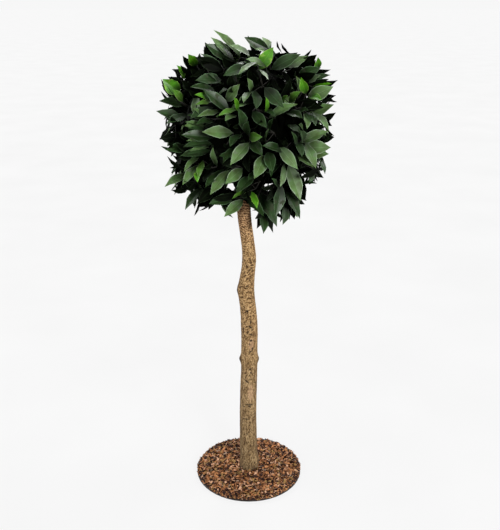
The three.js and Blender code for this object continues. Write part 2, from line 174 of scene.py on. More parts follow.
def smooth_noise(rng: np.random.Generator, shape: tuple[int, int], reach: Pair) -> Array:
    """A field of even roughness that wraps round at both edges, with mean 0 and deviation 1.

    White noise is blurred by a Gaussian through its Fourier transform.

    Args:
        rng: The source of the white noise.
        shape: Rows and columns.
        reach: The Gaussian's deviation in rows and in columns.

    Returns:
        The field.
    """
    rows = np.fft.fftfreq(shape[0])[:, None] * reach[0]
    columns = np.fft.fftfreq(shape[1])[None, :] * reach[1]
    blur = np.exp(-2 * np.pi**2 * (rows**2 + columns**2))
    noise = np.real(np.fft.ifft2(np.fft.fft2(rng.standard_normal(shape)) * blur))
    return (noise - noise.mean()) / noise.std()


# Meshes


@dataclass
class Faces:
    """Faces of any number of corners as flat arrays.

    Attributes:
        corners: The corner numbers of all faces, one face after the other.
        counts: How many corners each face has.
        slots: The material slot of each face.
    """

    corners: Array
    counts: Array
    slots: Array

    @staticmethod
    def of(faces: Sequence[Sequence[int]], slots: Sequence[int]) -> "Faces":
        """Faces from lists of corner numbers and their slots."""
        corners = np.array([corner for face in faces for corner in face], np.int64)
        return Faces(corners, np.array([len(face) for face in faces]), np.array(slots))

    @staticmethod
    def grid(rows: int, columns: int, closed: bool, slot: int = 0) -> "Faces":
        """The quads of a grid of points, row after row, each wound against the clock.

        Args:
            rows: Rows of points.
            columns: Points in a row.
            closed: Whether the last column joins the first.
            slot: The material slot of all the faces.

        Returns:
            The faces.
        """
        row = np.arange(rows - 1)[:, None] * columns
        here = np.arange(columns if closed else columns - 1)[None, :]
        there = (here + 1) % columns
        quads = np.stack([row + here, row + there, row + columns + there, row + columns + here], -1)
        quads = quads.reshape(-1, 4)
        return Faces(quads.ravel(), np.full(len(quads), 4), np.full(len(quads), slot))

    def repeated(self, times: int, points: int) -> "Faces":
        """The faces of many copies of a shape, one after the other.

        Args:
            times: How many copies.
            points: How many points each copy has.

        Returns:
            The faces.
        """
        corners = self.corners[None, :] + np.arange(times)[:, None] * points
        return Faces(corners.ravel(), np.tile(self.counts, times), np.tile(self.slots, times))

    def joined(self, other: "Faces") -> "Faces":
        """These faces and others on the same points."""
        pairs = ((self.corners, other.corners), (self.counts, other.counts), (self.slots, other.slots))
        return Faces(*(np.concatenate(pair) for pair in pairs))

    @staticmethod
    def tube(rings: int, sides: int) -> "Faces":
        """The faces of a tube of rings of points, with one more point after them to close each end.

        Args:
            rings: How many rings.
            sides: Points in a ring.

        Returns:
            The faces.
        """
        first, last, top = rings * sides, rings * sides + 1, (rings - 1) * sides
        ends = [[first, (i + 1) % sides, i] for i in range(sides)]
        ends += [[last, top + i, top + (i + 1) % sides] for i in range(sides)]
        return Faces.grid(rings, sides, closed=True).joined(Faces.of(ends, [0] * len(ends)))


def mesh_piece(
    name: str,
    points: Array,
    faces: Faces,
    materials: Sequence[bpy.types.Material],
    smooth: bool = True,
    rim: Array | None = None,
) -> bpy.types.Object:
    """A mesh object at the origin with its place in its mesh.

    Args:
        name: The piece's name.
        points: Its points in metres, three to a row.
        faces: Its faces.
        materials: Its material slots.
        smooth: Whether it is shaded smooth.
        rim: Marks the points of sharp edges, where both ends are marked.

    Returns:
        The object, linked to the scene.
    """
    mesh = bpy.data.meshes.new(name)
    mesh.vertices.add(len(points))
    mesh.vertices.foreach_set("co", points.astype(np.float32).ravel())
    mesh.loops.add(len(faces.corners))
    mesh.loops.foreach_set("vertex_index", faces.corners.astype(np.int32))
    mesh.polygons.add(len(faces.counts))
    starts = np.concatenate([[0], np.cumsum(faces.counts)[:-1]])
    mesh.polygons.foreach_set("loop_start", starts.astype(np.int32))
    mesh.polygons.foreach_set("material_index", faces.slots.astype(np.int32))
    mesh.polygons.foreach_set("use_smooth", np.full(len(faces.counts), smooth))
    mesh.update(calc_edges=True)
    if rim is not None:
        ends = np.empty(len(mesh.edges) * 2, np.int32)
        mesh.edges.foreach_get("vertices", ends)
        sharp = rim[ends.reshape(-1, 2)].all(axis=1)
        mesh.attributes.new("sharp_edge", "BOOLEAN", "EDGE").data.foreach_set("value", sharp)
    for material in materials:
        mesh.materials.append(material)
    piece = bpy.data.objects.new(name, mesh)
    bpy.context.scene.collection.objects.link(piece)
    return piece


def add_values(piece: bpy.types.Object, name: str, values: Array) -> None:
    """Gives each point of a piece a number that its material reads by name."""
    attribute = piece.data.attributes.new(name, "FLOAT", "POINT")
    attribute.data.foreach_set("value", values.astype(np.float32).ravel())


def tubes(lines: Array, radii: Array, sides: int) -> tuple[Array, Faces]:
    """Round limbs along lines, closed at both ends.

    Each line's rings stand across it, all kept to one direction across its chord, and a point
    closes each end.

    Args:
        lines: The middle lines, as limbs x points x 3.
        radii: The radius at each point, as limbs x points.
        sides: Points in a ring.

    Returns:
        The points of all limbs and their faces.
    """
    limbs, rings, _ = lines.shape
    along = unit(np.gradient(lines, axis=1))
    chord = unit(lines[:, -1] - lines[:, 0])
    across = np.broadcast_to(np.cross(chord, away_from(chord))[:, None], along.shape)
    side = square_to(along, across)
    other = np.cross(along, side)
    turn = np.arange(sides) * 2 * np.pi / sides
    ring = side[:, :, None] * np.cos(turn)[:, None] + other[:, :, None] * np.sin(turn)[:, None]
    body = (lines[:, :, None] + ring * radii[:, :, None, None]).reshape(limbs, -1, 3)
    points = np.concatenate([body, lines[:, :1], lines[:, -1:]], axis=1)
    return points.reshape(-1, 3), Faces.tube(rings, sides).repeated(limbs, rings * sides + 2)


# Finishes


def linear(sheet_hex: str) -> tuple[float, float, float, float]:
    """The linear colour of an sRGB hex value, with full cover.

    Args:
        sheet_hex: The value, as #rrggbb.

    Returns:
        Red, green, blue and 1, by the standard's straight foot and power of 2.4.
    """
    values = [int(sheet_hex[i : i + 2], 16) / 255 for i in (1, 3, 5)]
    red, green, blue = (v / 12.92 if v <= 0.04045 else ((v + 0.055) / 1.055) ** 2.4 for v in values)
    return red, green, blue, 1.0


def repeats(size: float) -> float:
    """A noise's scale: how many times a size in mm goes into a metre."""
    return 1 / (size * MM)


Stops = Sequence[tuple[float, str]]
Value = float | tuple | bpy.types.NodeSocket | bpy.types.Node
MIX = {"data_type": "RGBA", "blend_type": "MIX"}
MULTIPLY = {"data_type": "RGBA", "blend_type": "MULTIPLY"}


class Recipe:
    """A node tree in the making: the nodes of a material or of the world."""

    def __init__(self, owner: bpy.types.Material | bpy.types.World) -> None:
        """Starts with an empty node tree.

        Args:
            owner: The new material or world.
        """
        owner.use_nodes = True
        self.owner = owner
        self.tree = owner.node_tree
        self.tree.nodes.clear()

    @cached_property
    def places(self) -> bpy.types.NodeSocket:
        """The places of the object's points, which all patterns read."""
        return self.add("ShaderNodeTexCoord").outputs["Object"]

    def add(
        self, kind: str, settings: dict[str, object] | None = None, stops: Stops = (), **inputs: Value
    ) -> bpy.types.Node:
        """Adds a node with its settings, its values and its links.

        Args:
            kind: The node's type.
            settings: Its properties by name.
            stops: A colour ramp's hex colours, each after its place from 0 to 1.
            **inputs: By input name, with _ for a space, or input_N by number: a value, a socket, or a
                node, which stands for its first socket.

        Returns:
            The node.
        """
        node = self.tree.nodes.new(kind)
        for name, value in (settings or {}).items():
            setattr(node, name, value)
        for _ in stops[2:]:
            node.color_ramp.elements.new(0.5)
        for number, (place, colour) in enumerate(stops):
            element = node.color_ramp.elements[number]
            element.position, element.color = place, linear(colour)
        for name, value in inputs.items():
            key = int(name[6:]) if name.startswith("input_") else name.replace("_", " ")
            source = value.outputs[0] if isinstance(value, bpy.types.Node) else value
            if isinstance(source, bpy.types.NodeSocket):
                self.tree.links.new(source, node.inputs[key])
            else:
                node.inputs[key].default_value = source
        return node

    def finished(self, **inputs: Value) -> bpy.types.Material:
        """Ends a material with a principled shader.

        Args:
            **inputs: The shader's inputs, as for add.

        Returns:
            The material.
        """
        shader = self.add("ShaderNodeBsdfPrincipled", **inputs)
        self.add("ShaderNodeOutputMaterial", Surface=shader)
        return self.owner


@dataclass(frozen=True)
class PolyesterLeaf:
    """Printed polyester leaf cloth, stiffened and lightly waxed.

    Its top gives a soft, broad, cool sheen over a dyed green, and its underside is paler and duller.
    The weave is far finer than a pixel, so what shows is a slow unevenness of the dye.

    Attributes:
        name: The tone's name.
        top: The colour of its top.
        underside: The colour of its underside.
        margin: The colour of its margin, which is paler.
        roughness: How dull its top is.
        gloss: How strongly it shines.
        underside_roughness: How dull its underside is.
        rib_roughness: How dull its midrib is.
        rib_share: How far the midrib's colour is on the way from the top's to the margin's.
        cloud: The size of a cloud in the dye, in mm: about a quarter of a leaf's length.
        worn: What the colour is multiplied by where the dye is thinnest.
        waxed: The same, where it is strongest.
        margin_band: Where the margin's colour sets in and is full, as shares of half the width.
        painted_root_shade: Painted shade: a grey that the colour is multiplied by along the leaf,
        darkest at its root.
    """

    name: str
    top: str
    underside: str
    margin: str
    roughness: float
    gloss: float
    underside_roughness: float = 0.7
    rib_roughness: float = 0.5
    rib_share: float = 0.45
    cloud: float = 21.739
    worn: Triple = (0.68, 0.62, 0.48)
    waxed: Triple = (1.2, 1.28, 1.2)
    margin_band: Pair = (0.86, 0.96)
    painted_root_shade: Stops = ((0.0, "#4c4c4c"), (0.3, "#a8a8a8"), (0.65, "#ffffff"))

    def cloth(self, part: str, colour: tuple[float, ...], roughness: float) -> bpy.types.Material:
        """One dyed side of the cloth.

        Args:
            part: Which part of the leaf it is, for the material's name.
            colour: Its linear colour.
            roughness: How dull it is.

        Returns:
            The material.
        """
        recipe = Recipe(bpy.data.materials.new(f"polyester_leaf_{self.name}_{part}"))
        clouds = recipe.add(
            "ShaderNodeTexNoise", Vector=recipe.places, Scale=repeats(self.cloud), Detail=2.0, Roughness=0.55
        )
        base = np.array(colour[:3])
        spread = recipe.add("ShaderNodeMapRange", Value=clouds, From_Min=0.3, From_Max=0.7)
        worn, waxed = ((*np.minimum(base * share, 1), 1.0) for share in (self.worn, self.waxed))
        dye = recipe.add("ShaderNodeMix", MIX, input_0=spread, input_6=worn, input_7=waxed).outputs[2]
        margin, along = (
            recipe.add("ShaderNodeAttribute", {"attribute_name": name}).outputs["Fac"]
            for name in ("margin", "along")
        )
        low, high = self.margin_band
        edge = recipe.add("ShaderNodeMapRange", Value=margin, From_Min=low, From_Max=high)
        pale = linear(self.margin)
        edged = recipe.add("ShaderNodeMix", MIX, input_0=edge, input_6=dye, input_7=pale).outputs[2]
        # Painted shade: the colour darkens towards the leaf's root, where leaves shade each other.
        deeper = recipe.add("ShaderNodeValToRGB", stops=self.painted_root_shade, Fac=along)
        dyed = recipe.add("ShaderNodeMix", MULTIPLY, input_0=1.0, input_6=edged, input_7=deeper).outputs[2]
        return recipe.finished(Base_Color=dyed, Roughness=roughness, IOR=1.5, Specular_IOR_Level=self.gloss)

    def materials(self) -> list[bpy.types.Material]:
        """The three materials of a leaf.

        Returns:
            The top, the underside and the midrib, which is a little nearer to the margin's colour.
        """
        top, margin = linear(self.top), linear(self.margin)
        rib = tuple(mix(a, b, self.rib_share) for a, b in zip(top, margin))
        return [
            self.cloth("top", top, self.roughness),
            self.cloth("underside", linear(self.underside), self.underside_roughness),
            self.cloth("rib", rib, self.rib_roughness),
        ]


class Tone(Enum):
    """The leaves' tones, each one piece of joined leaves; some are painted shade, sheen and reflection."""

    # Nearly black and dull: painted shade, for leaves deep inside the head.
    INNER = PolyesterLeaf("inner", "#030402", "#040503", "#050704", 0.85, 0.01)
    # Very dark green and dull: painted shade, for leaves in shade.
    DEEP = PolyesterLeaf("deep", "#080e05", "#0d120a", "#2a3824", 0.6, 0.05)
    MIDDLE = PolyesterLeaf("middle", "#294020", "#37432c", "#5e7c58", 0.4, 0.3)
    # A lighter, greyer green: painted sheen, for leaves in the light.
    SHEEN = PolyesterLeaf("sheen", "#5a7846", "#65785a", "#9ab48e", 0.4, 0.45)
    FRESH = PolyesterLeaf("fresh", "#4c7826", "#5f7d38", "#86ac62", 0.42, 0.35)
    YOUNG = PolyesterLeaf("young", "#4f9016", "#7fae40", "#8fc04c", 0.45, 0.4)
    # A whitish green: a painted reflection, for a leaf that shines.
    PALE = PolyesterLeaf("pale", "#a4c2a0", "#c6d8c0", "#dbe8d4", 0.5, 0.5)

    @property
    def number(self) -> int:
        """Its place in the list of tones, which is how the arrays of leaves know it."""
        return list(Tone).index(self)


@dataclass(frozen=True)
class StemBark:
    """Real bark on a preserved wooden stem: matt and tan, with dark pits above and grey cracks below.

    Attributes:
        name: The material's name.
        roughness: How dull it is.
        grain: The width of a pit or crack before it is stretched, in mm.
        patch: The same of a lighter or darker patch, in mm.
        cracks: How a crack's scale changes: it is 1.9 mm wide and 7 mm tall, a patch 20 by 74 mm.
        pits: How a pit's scale changes: it is 3 mm wide and 1.6 mm tall.
        turnover: Between which heights cracks give way to pits, in metres.
        ground: The bark's colour up the stem, at heights in metres.
        patched: What patches multiply it by.
        grained: What pits and cracks multiply it by.
        hollows: What the relief in the shape multiplies it by.
        bared: The colour of the wood where the bark is rubbed off.
        stain_and_shade_colour: The black-brown of scars' stains, of the darker foot and of the painted
        shade at the top, under the head.
    """

    name: str = "bay_stem_bark"
    roughness: float = 0.9
    grain: float = 2.08333
    patch: float = 22.222
    cracks: Triple = (1.1, 1.1, 0.3)
    pits: Triple = (0.7, 0.7, 1.3)
    turnover: Pair = (0.4, 0.62)
    ground: Stops = (
        (0.0, "#a08a65"),
        (0.3, "#c3a77c"),
        (0.55, "#cfad7c"),
        (0.75, "#dfbc87"),
        (0.84, "#eec291"),
        (0.93, "#dcaa7c"),
    )
    patched: Stops = ((0.3, "#dcd8d2"), (0.7, "#ffffff"))
    grained: Stops = ((0.38, "#6a5a48"), (0.47, "#c8bfb2"), (0.57, "#ffffff"))
    hollows: Stops = ((0.0, "#604e3e"), (0.3, "#a69888"), (0.5, "#e0dad0"), (0.66, "#ffffff"))
    bared: str = "#d2a888"
    stain_and_shade_colour: str = "#1c1008"

    def material(self) -> bpy.types.Material:
        """Reads the stem's own height, relief, stains and bare patches from its points.

        The colour is the ground's at that height, times the patches, the grain and the relief. The wood
        of bare patches lies over it, and the black-brown of scars, of the darker foot and of the painted
        shade under the head.

        Returns:
            The material.
        """
        recipe = Recipe(bpy.data.materials.new(self.name))
        height, relief, stains_and_shade, bare = (
            recipe.add("ShaderNodeAttribute", {"attribute_name": name}).outputs["Fac"]
            for name in ("stem_height", "relief", "stains_and_shade", "bare")
        )
        stretched, flattened = (
            recipe.add("ShaderNodeMapping", Vector=recipe.places, Scale=scale)
            for scale in (self.cracks, self.pits)
        )
        fissures, pits = (
            recipe.add("ShaderNodeTexNoise", Vector=way, Scale=repeats(self.grain), Detail=2.0, Roughness=0.6)
            for way in (stretched, flattened)
        )
        low, high = self.turnover
        upward = recipe.add("ShaderNodeMapRange", Value=height, From_Min=low, From_Max=high)
        grain = recipe.add("ShaderNodeMix", input_0=upward, input_2=fissures, input_3=pits)
        patches = recipe.add(
            "ShaderNodeTexNoise", Vector=stretched, Scale=repeats(self.patch), Detail=3.0, Roughness=0.6
        )
        colour = recipe.add("ShaderNodeValToRGB", stops=self.ground, Fac=height).outputs[0]
        for stops, share in ((self.patched, patches), (self.grained, grain), (self.hollows, relief)):
            layer = recipe.add("ShaderNodeValToRGB", stops=stops, Fac=share)
            mixed = recipe.add("ShaderNodeMix", MULTIPLY, input_0=1.0, input_6=colour, input_7=layer)
            colour = mixed.outputs[2]
        for share, sheet_hex in ((bare, self.bared), (stains_and_shade, self.stain_and_shade_colour)):
            layer = linear(sheet_hex)
            mixed = recipe.add("ShaderNodeMix", MIX, input_0=share, input_6=colour, input_7=layer)
            colour = mixed.outputs[2]
        bump = recipe.add("ShaderNodeBump", Strength=0.5, Distance=0.8 * MM, Height=grain)
        return recipe.finished(Base_Color=colour, Roughness=self.roughness, IOR=1.45, Normal=bump)


@dataclass(frozen=True)
class GrainedBark:
    """A matt bark whose colour and relief both follow one grain, so that its hollows look dark.

    Attributes:
        name: The material's name.
        grain: How wide a streak or pit of the grain is, in mm.
        fineness: How many finer layers the grain has, and how strong each is beside the one before.
        stops: Its colours, from the grain's hollows to its ridges.
        strength: How strong the relief is, from 0 to 1.
        relief: How high the relief is, in mm.
        roughness: How dull it is.
    """

    name: str
    grain: float
    fineness: Pair
    stops: Stops
    strength: float = 0.5
    relief: float = 0.8
    roughness: float = 0.9

    def material(self) -> bpy.types.Material:
        """One noise for the colour and for the relief.

        Returns:
            The material.
        """
        recipe = Recipe(bpy.data.materials.new(self.name))
        detail, falloff = self.fineness
        scale = repeats(self.grain)
        grain = recipe.add(
            "ShaderNodeTexNoise", Vector=recipe.places, Scale=scale, Detail=detail, Roughness=falloff
        )
        colour = recipe.add("ShaderNodeValToRGB", stops=self.stops, Fac=grain)
        bump = recipe.add("ShaderNodeBump", Strength=self.strength, Distance=self.relief * MM, Height=grain)
        return recipe.finished(Base_Color=colour, Roughness=self.roughness, IOR=1.45, Normal=bump)


# Painted wire twigs: matt, dark brown, turning greener from place to place, about 8 mm apart.
TWIG_BARK = GrainedBark(
    "twig_bark",
    8.3333,
    (3.0, 0.6),
    ((0.3, "#0c0a07"), (0.55, "#16130d"), (0.75, "#1e1f12")),
    strength=0.4,
    relief=0.5,
    roughness=0.8,
)
# The stem's bark on the boughs inside the head, painted far darker than the stem's as shade: matt
# red-brown, its pits 4.5 mm wide.
BOUGH_BARK = GrainedBark("bay_bough_bark", 4.5455, (4.0, 0.65), ((0.35, "#2c1c12"), (0.6, "#6a4a30")))


def pine_bark(name: str, dark: str, light: str) -> GrainedBark:
    """Dried conifer bark, chipped: matt, each chip streaked along its layers, about 5 mm apart."""
    return GrainedBark(f"pine_bark_{name}", 4.7619, (3.0, 0.7), ((0.32, dark), (0.68, light)))


class ChipLot(Enum):
    """The colours of the chips, and how often each comes."""

    ORANGE = (pine_bark("orange", "#8c542a", "#c88e5c"), 0.26)
    PINK = (pine_bark("pink", "#a87858", "#e0b28e"), 0.13)
    BROWN = (pine_bark("brown", "#5a3418", "#925e36"), 0.24)
    TAN = (pine_bark("tan", "#72562c", "#ae8650"), 0.14)
    GREY = (pine_bark("grey", "#76604e", "#b0947c"), 0.04)
    # Near-black chips: dark bark, and painted shade in the gaps between the chips.
    DARK = (pine_bark("dark", "#1c0600", "#401c08"), 0.27)


@dataclass(frozen=True)
class PaintedSteel:
    """Sheet steel under dark brown powder paint: half matt, with the paint's fine orange peel.

    Attributes:
        name: The material's name.
        wear: The size of a worn patch, in mm.
        peel: The size of a dimple in the paint, in mm.
        stops: Its colours, from fresh paint to worn.
    """

    name: str = "powder_painted_steel"
    wear: float = 40.0
    peel: float = 1.1111
    stops: Stops = ((0.3, "#1a1310"), (0.7, "#2e241d"))

    def material(self) -> bpy.types.Material:
        """A dark paint with slow wear and a fine grain.

        Returns:
            The material.
        """
        recipe = Recipe(bpy.data.materials.new(self.name))
        wear, peel = (
            recipe.add("ShaderNodeTexNoise", Vector=recipe.places, Scale=scale, Detail=fine, Roughness=rough)
            for scale, fine, rough in ((repeats(self.wear), 4.0, 0.6), (repeats(self.peel), 1.0, 0.5))
        )
        colour = recipe.add("ShaderNodeValToRGB", stops=self.stops, Fac=wear)
        bump = recipe.add("ShaderNodeBump", Strength=0.2, Distance=0.2 * MM, Height=peel)
        return recipe.finished(Base_Color=colour, Roughness=0.55, IOR=1.5, Normal=bump)


# The stem


@dataclass(frozen=True)
class Scar:
    """A mark on the stem: where it is, its half sizes, how high it stands and how dark it is.

    Attributes:
        height: Above the floor, in mm.
        azimuth: Degrees from +X towards +Y.
        tall: Half its height, in mm.
        wide: Half its width, in mm.
        rise: How far it stands out, or lies in where it is below 0, in mm.
        dark: From 0, like the bark, to 1, black-brown.
        slant: How far it climbs over its half width, in mm.
    """

    height: float
    azimuth: float
    tall: float
    wide: float
    rise: float
    dark: float
    slant: float = 0.0


@dataclass
class Stem:
    """The clear stem: a bent, tapering line with knobs, and the bark's relief on it.

    Sizes are in mm, as the solids' source has them.
    """

    foot: float = 6.0
    top: float = 985.0
    # The middle line bends at these places, x, y and height, with so many points between two bends.
    span_points: int = 60
    bends: tuple[Triple, ...] = (
        (0, 0, 6), (-2, 3, 205), (2, 0, 400), (1, -4, 530), (-7, 0, 625), (1, 5, 720), (-13, 2, 855),
        (-10, 0, 985),
    )
    # Heights, each with the stem's radius there.
    girth: tuple[Pair, ...] = (
        (6, 28.5), (60, 27), (270, 25.5), (480, 24.5), (620, 23.5), (700, 20), (770, 18.5), (855, 19),
        (985, 13),
    )
    # Knobs: the height and azimuth of each, how far it stands out and its half size.
    knots: tuple[tuple[float, float, float, float], ...] = (
        (397, 182, 5, 12), (397, -4, 4.5, 12), (622, 190, 3.5, 16), (700, 285, 2.5, 12),
        (500, 275, 2, 12), (250, 280, 2, 14), (300, 75, 3, 13), (560, 120, 3, 13), (38, -12, 6, 24),
    )
    scars: tuple[Scar, ...] = (
        Scar(622, 182, 13, 9, 0.6, 0.75),
        Scar(395, 182, 9, 8, 0.4, 0.85),
        Scar(395, -4, 9, 8, 0.4, 0.65),
        Scar(700, 275, 3.5, 9, 0.8, 0.2, 2.0),
        Scar(690, 282, 2.2, 5, -0.8, 0.55, 1.5),
        Scar(640, 272, 2.2, 3.5, -1.0, 0.85),
        Scar(564, 264, 3.4, 3.4, -1.2, 1.0),
        Scar(530, 281, 6.0, 1.8, -1.0, 0.95, 2.0),
        Scar(514, 276, 3.0, 4.5, -1.2, 1.0, -3.0),
        Scar(505, 287, 4.0, 1.8, -1.0, 0.9, 1.0),
        Scar(498, 260, 2.4, 4.0, -1.0, 0.9, 2.0),
        Scar(489, 283, 2.6, 3.6, -1.0, 0.95, -2.0),
        Scar(469, 281, 3.4, 3.0, -1.2, 1.0),
        Scar(457, 270, 3.6, 1.8, -1.0, 0.75),
        Scar(441, 291, 4.4, 2.2, -1.0, 0.95),
        Scar(432, 278, 2.0, 4.5, -1.0, 0.9, 1.5),
        Scar(372, 276, 3.0, 2.8, -1.0, 1.0),
        Scar(360, 282, 3.0, 2.6, -1.0, 1.0),
        Scar(338, 276, 1.8, 2.6, -1.0, 0.8),
        Scar(330, 254, 2.6, 6.5, -1.4, 1.0, -5.0),
        Scar(256, 281, 3.0, 12.0, 0.9, 0.0),
        Scar(250, 262, 2.0, 5.0, -1.0, 0.75, 2.5),
        Scar(250, 284, 2.2, 7.5, -1.2, 0.8, -2.0),
        Scar(245, 277, 2.8, 3.0, -1.2, 0.95),
        Scar(241, 238, 2.2, 2.4, -1.0, 0.8),
        Scar(198, 254, 1.8, 11.0, -0.9, 0.85),
        Scar(146, 265, 5.0, 1.4, -0.8, 0.6),
        Scar(640, 90, 3.0, 4.0, -1.2, 0.8),
        Scar(470, 75, 4.0, 5.0, -1.0, 0.7, 2.0),
        Scar(340, 110, 3.0, 7.0, -1.0, 0.6, 2.0),
        Scar(210, 60, 3.0, 6.0, -1.0, 0.6, -2.0),
        Scar(760, 150, 3.0, 5.0, -1.0, 0.7, 2.0),
        Scar(560, 20, 3.0, 4.0, -1.0, 0.7, 2.0),
    )
    # Where the bark is rubbed off: height, azimuth, half height and half width.
    bare_patches: tuple[tuple[float, float, float, float], ...] = (
        (456, 281, 19, 8), (290, 285, 26, 9), (560, 150, 20, 9),
    )
    # A row is 1.6 mm tall and a column 1.7 mm wide, so the noises' reaches below are in steps of that.
    rows: int = 620
    columns: int = 96
    relief_seed: int = 41
    swell_reach: Pair = (18, 7)
    wander_reach: Pair = (50, 12)
    pit_reach: Pair = (0.75, 0.75)
    crack_reach: Pair = (5.0, 0.6)
    ripple_reach: Pair = (5, 3)
    ripple_length: float = 7.6
    ripple_bend: float = 2.6
    ripple_rise: float = 1.3
    # How far the swellings and the bark's flecks stand out.
    swell_rise: float = 0.45
    fleck_rise: float = 0.25
    # Between which heights cracks give way to pits, and how far that border wanders.
    pitted: Pair = (380, 640)
    pitted_wander: float = 45
    # Between which heights the ripples under the head set in.
    rippled: Pair = (740, 830)
    # The shares of pits and of ripples where it is pitted, and how each changes where it is rippled.
    pit_share: Pair = (0.95, -0.35)
    ripple_share: Pair = (0.15, 0.6)
    # The shares of pits and of cracks below.
    crack_share: Pair = (0.35, 0.65)
    # A scar's stain is full over its middle: the mark's bump times the first number less the second.
    stain_edge: Pair = (3.4, 0.5)
    # The same for a bare patch, whose share is this at most.
    bare_edge: Pair = (1.2, 0.3)
    bare_most: float = 0.24
    # The darker foot and the painted shade at the top, under the head: how dark, between which heights,
    # and how far both borders wander.
    foot_dark: float = 0.55
    foot_band: Pair = (8, 46)
    top_dark: float = 0.2
    top_band: Pair = (805, 860)
    dark_wander: float = 6
    # How strongly the flecks colour the bark: at the foot, and more where it is pitted and rippled.
    relief_shares: Triple = (0.16, 0.12, 0.22)

    def __post_init__(self) -> None:
        """Samples the middle line once, since every level cut of it is asked for later."""
        self.line = self.sampled_line()

    def sampled_line(self) -> Array:
        """Points along a centripetal Catmull-Rom line through the bends.

        Each span between two bends is a cubic whose end slopes come from the neighbouring bends,
        weighed by the square roots of the spans' lengths.

        Returns:
            The points, from the foot to the top.
        """
        bends = np.array(self.bends, float)
        before = 2 * bends[0] - bends[1]
        after = 2 * bends[-1] - bends[-2]
        padded = np.vstack([before, bends, after])
        share = np.linspace(0, 1, self.span_points)[:, None]
        spans = []
        for p0, p1, p2, p3 in zip(padded, padded[1:], padded[2:], padded[3:]):
            d0, d1, d2 = (math.sqrt(np.linalg.norm(b - a)) for a, b in ((p0, p1), (p1, p2), (p2, p3)))
            leave = ((p1 - p0) / d0 - (p2 - p0) / (d0 + d1) + (p2 - p1) / d1) * d1
            arrive = ((p2 - p1) / d1 - (p3 - p1) / (d1 + d2) + (p3 - p2) / d2) * d1
            cube = 2 * p1 - 2 * p2 + leave + arrive
            square = -3 * p1 + 3 * p2 - 2 * leave - arrive
            spans.append(p1 + leave * share + square * share**2 + cube * share**3)
        return np.vstack(spans)

    def middle(self, height: Array | float) -> Array:
        """The middle of the stem at heights, straight between the middle line's points.

        Args:
            height: Heights, in mm.

        Returns:
            The places, along one more axis.
        """
        x = np.interp(height, self.line[:, 2], self.line[:, 0])
        y = np.interp(height, self.line[:, 2], self.line[:, 1])
        return np.stack([x, y, np.asarray(height, float) + 0 * x], axis=-1)

    def plain_radius(self, height: Array | float) -> Array:
        """The radius without knots: a smoothstep between each two sizes of the girth.

        Args:
            height: Heights, in mm.

        Returns:
            The radius at each, in mm.
        """
        heights, radii = np.array(self.girth, float).T
        at = np.atleast_1d(np.asarray(height, float))
        right = np.clip(np.searchsorted(heights, at), 1, len(heights) - 1)
        share = np.clip((at - heights[right - 1]) / (heights[right] - heights[right - 1]), 0, 1)
        return mix(radii[right - 1], radii[right], share * share * (3 - 2 * share))

    def bump(
        self, grid: Sequence[Array], place: Pair, size: Pair, slant: float = 0.0
    ) -> Array:
        """A bump of height 1 on the unrolled stem, falling off as a Gaussian.

        Args:
            grid: The points' heights in mm, their azimuths in degrees and the stem's radius there in mm.
            place: The bump's height and azimuth.
            size: Its half height and half width in mm.
            slant: How far it climbs over its half width, in mm.

        Returns:
            The bump's share at each point.
        """
        height, azimuth, radius = grid
        turn = np.radians((azimuth - place[1] + 180) % 360 - 180)
        around = turn * radius / size[1]
        along = (height - place[0] - slant * around) / size[0]
        return np.exp(-around * around - along * along)

    def surface(self) -> dict[str, Array]:
        """The stem's surface on a grid of heights and azimuths.

        The radius is the girth plus the knobs and scars, slow swellings and the bark's relief. The
        relief is smooth noise: pitted above the middle of the stem, drawn out along it below, and in
        level ripples, a sine of the height that smooth noise bends, just under the head. Stains darken
        the scars, the stem darkens towards its foot, painted shade darkens its top under the head, and
        bare patches show the wood.

        Returns:
            The points and, for each of them, what the bark's material reads.
        """
        rng = np.random.default_rng(self.relief_seed)
        height = np.linspace(self.foot, self.top, self.rows)[:, None]
        azimuth = np.arange(self.columns)[None, :] * 360 / self.columns
        height, azimuth = np.broadcast_arrays(height, azimuth)
        plain = self.plain_radius(height[:, 0])[:, None] + 0 * azimuth
        grid = (height, azimuth, plain)
        radius = plain.copy()
        for place, turn, rise, size in self.knots:
            radius = radius + rise * self.bump(grid, (place, turn), (size, size))
        stains_and_shade, bare = np.zeros_like(radius), np.zeros_like(radius)
        steep, less = self.stain_edge
        for scar in self.scars:
            mark = self.bump(grid, (scar.height, scar.azimuth), (scar.tall, scar.wide), scar.slant)
            radius = radius + scar.rise * mark
            stains_and_shade = np.maximum(stains_and_shade, scar.dark * np.clip(mark * steep - less, 0, 1))
        steep, less = self.bare_edge
        for place, turn, tall, wide in self.bare_patches:
            patch = self.bump(grid, (place, turn), (tall, wide))
            bare = np.maximum(bare, np.clip(patch * steep - less, 0, self.bare_most))
        reaches = (self.swell_reach, self.wander_reach, self.pit_reach, self.crack_reach, self.ripple_reach)
        swell, wander, pits, cracks, bend = (smooth_noise(rng, plain.shape, reach) for reach in reaches)
        bent = height + self.ripple_bend * bend
        ripple = self.ripple_rise * np.sin(2 * np.pi * bent / self.ripple_length)
        upper = smoothstep(*self.pitted, height + self.pitted_wander * wander)
        rippled = smoothstep(*self.rippled, height)
        pit_share, ripple_share = (
            low + more * rippled for low, more in (self.pit_share, self.ripple_share)
        )
        below = self.crack_share[0] * pits + self.crack_share[1] * cracks
        flecks = mix(below, pits * pit_share + ripple * ripple_share, upper)
        radius = radius + self.swell_rise * swell + self.fleck_rise * flecks
        wandering = height + self.dark_wander * wander
        dark_foot = self.foot_dark * (1 - smoothstep(*self.foot_band, wandering))
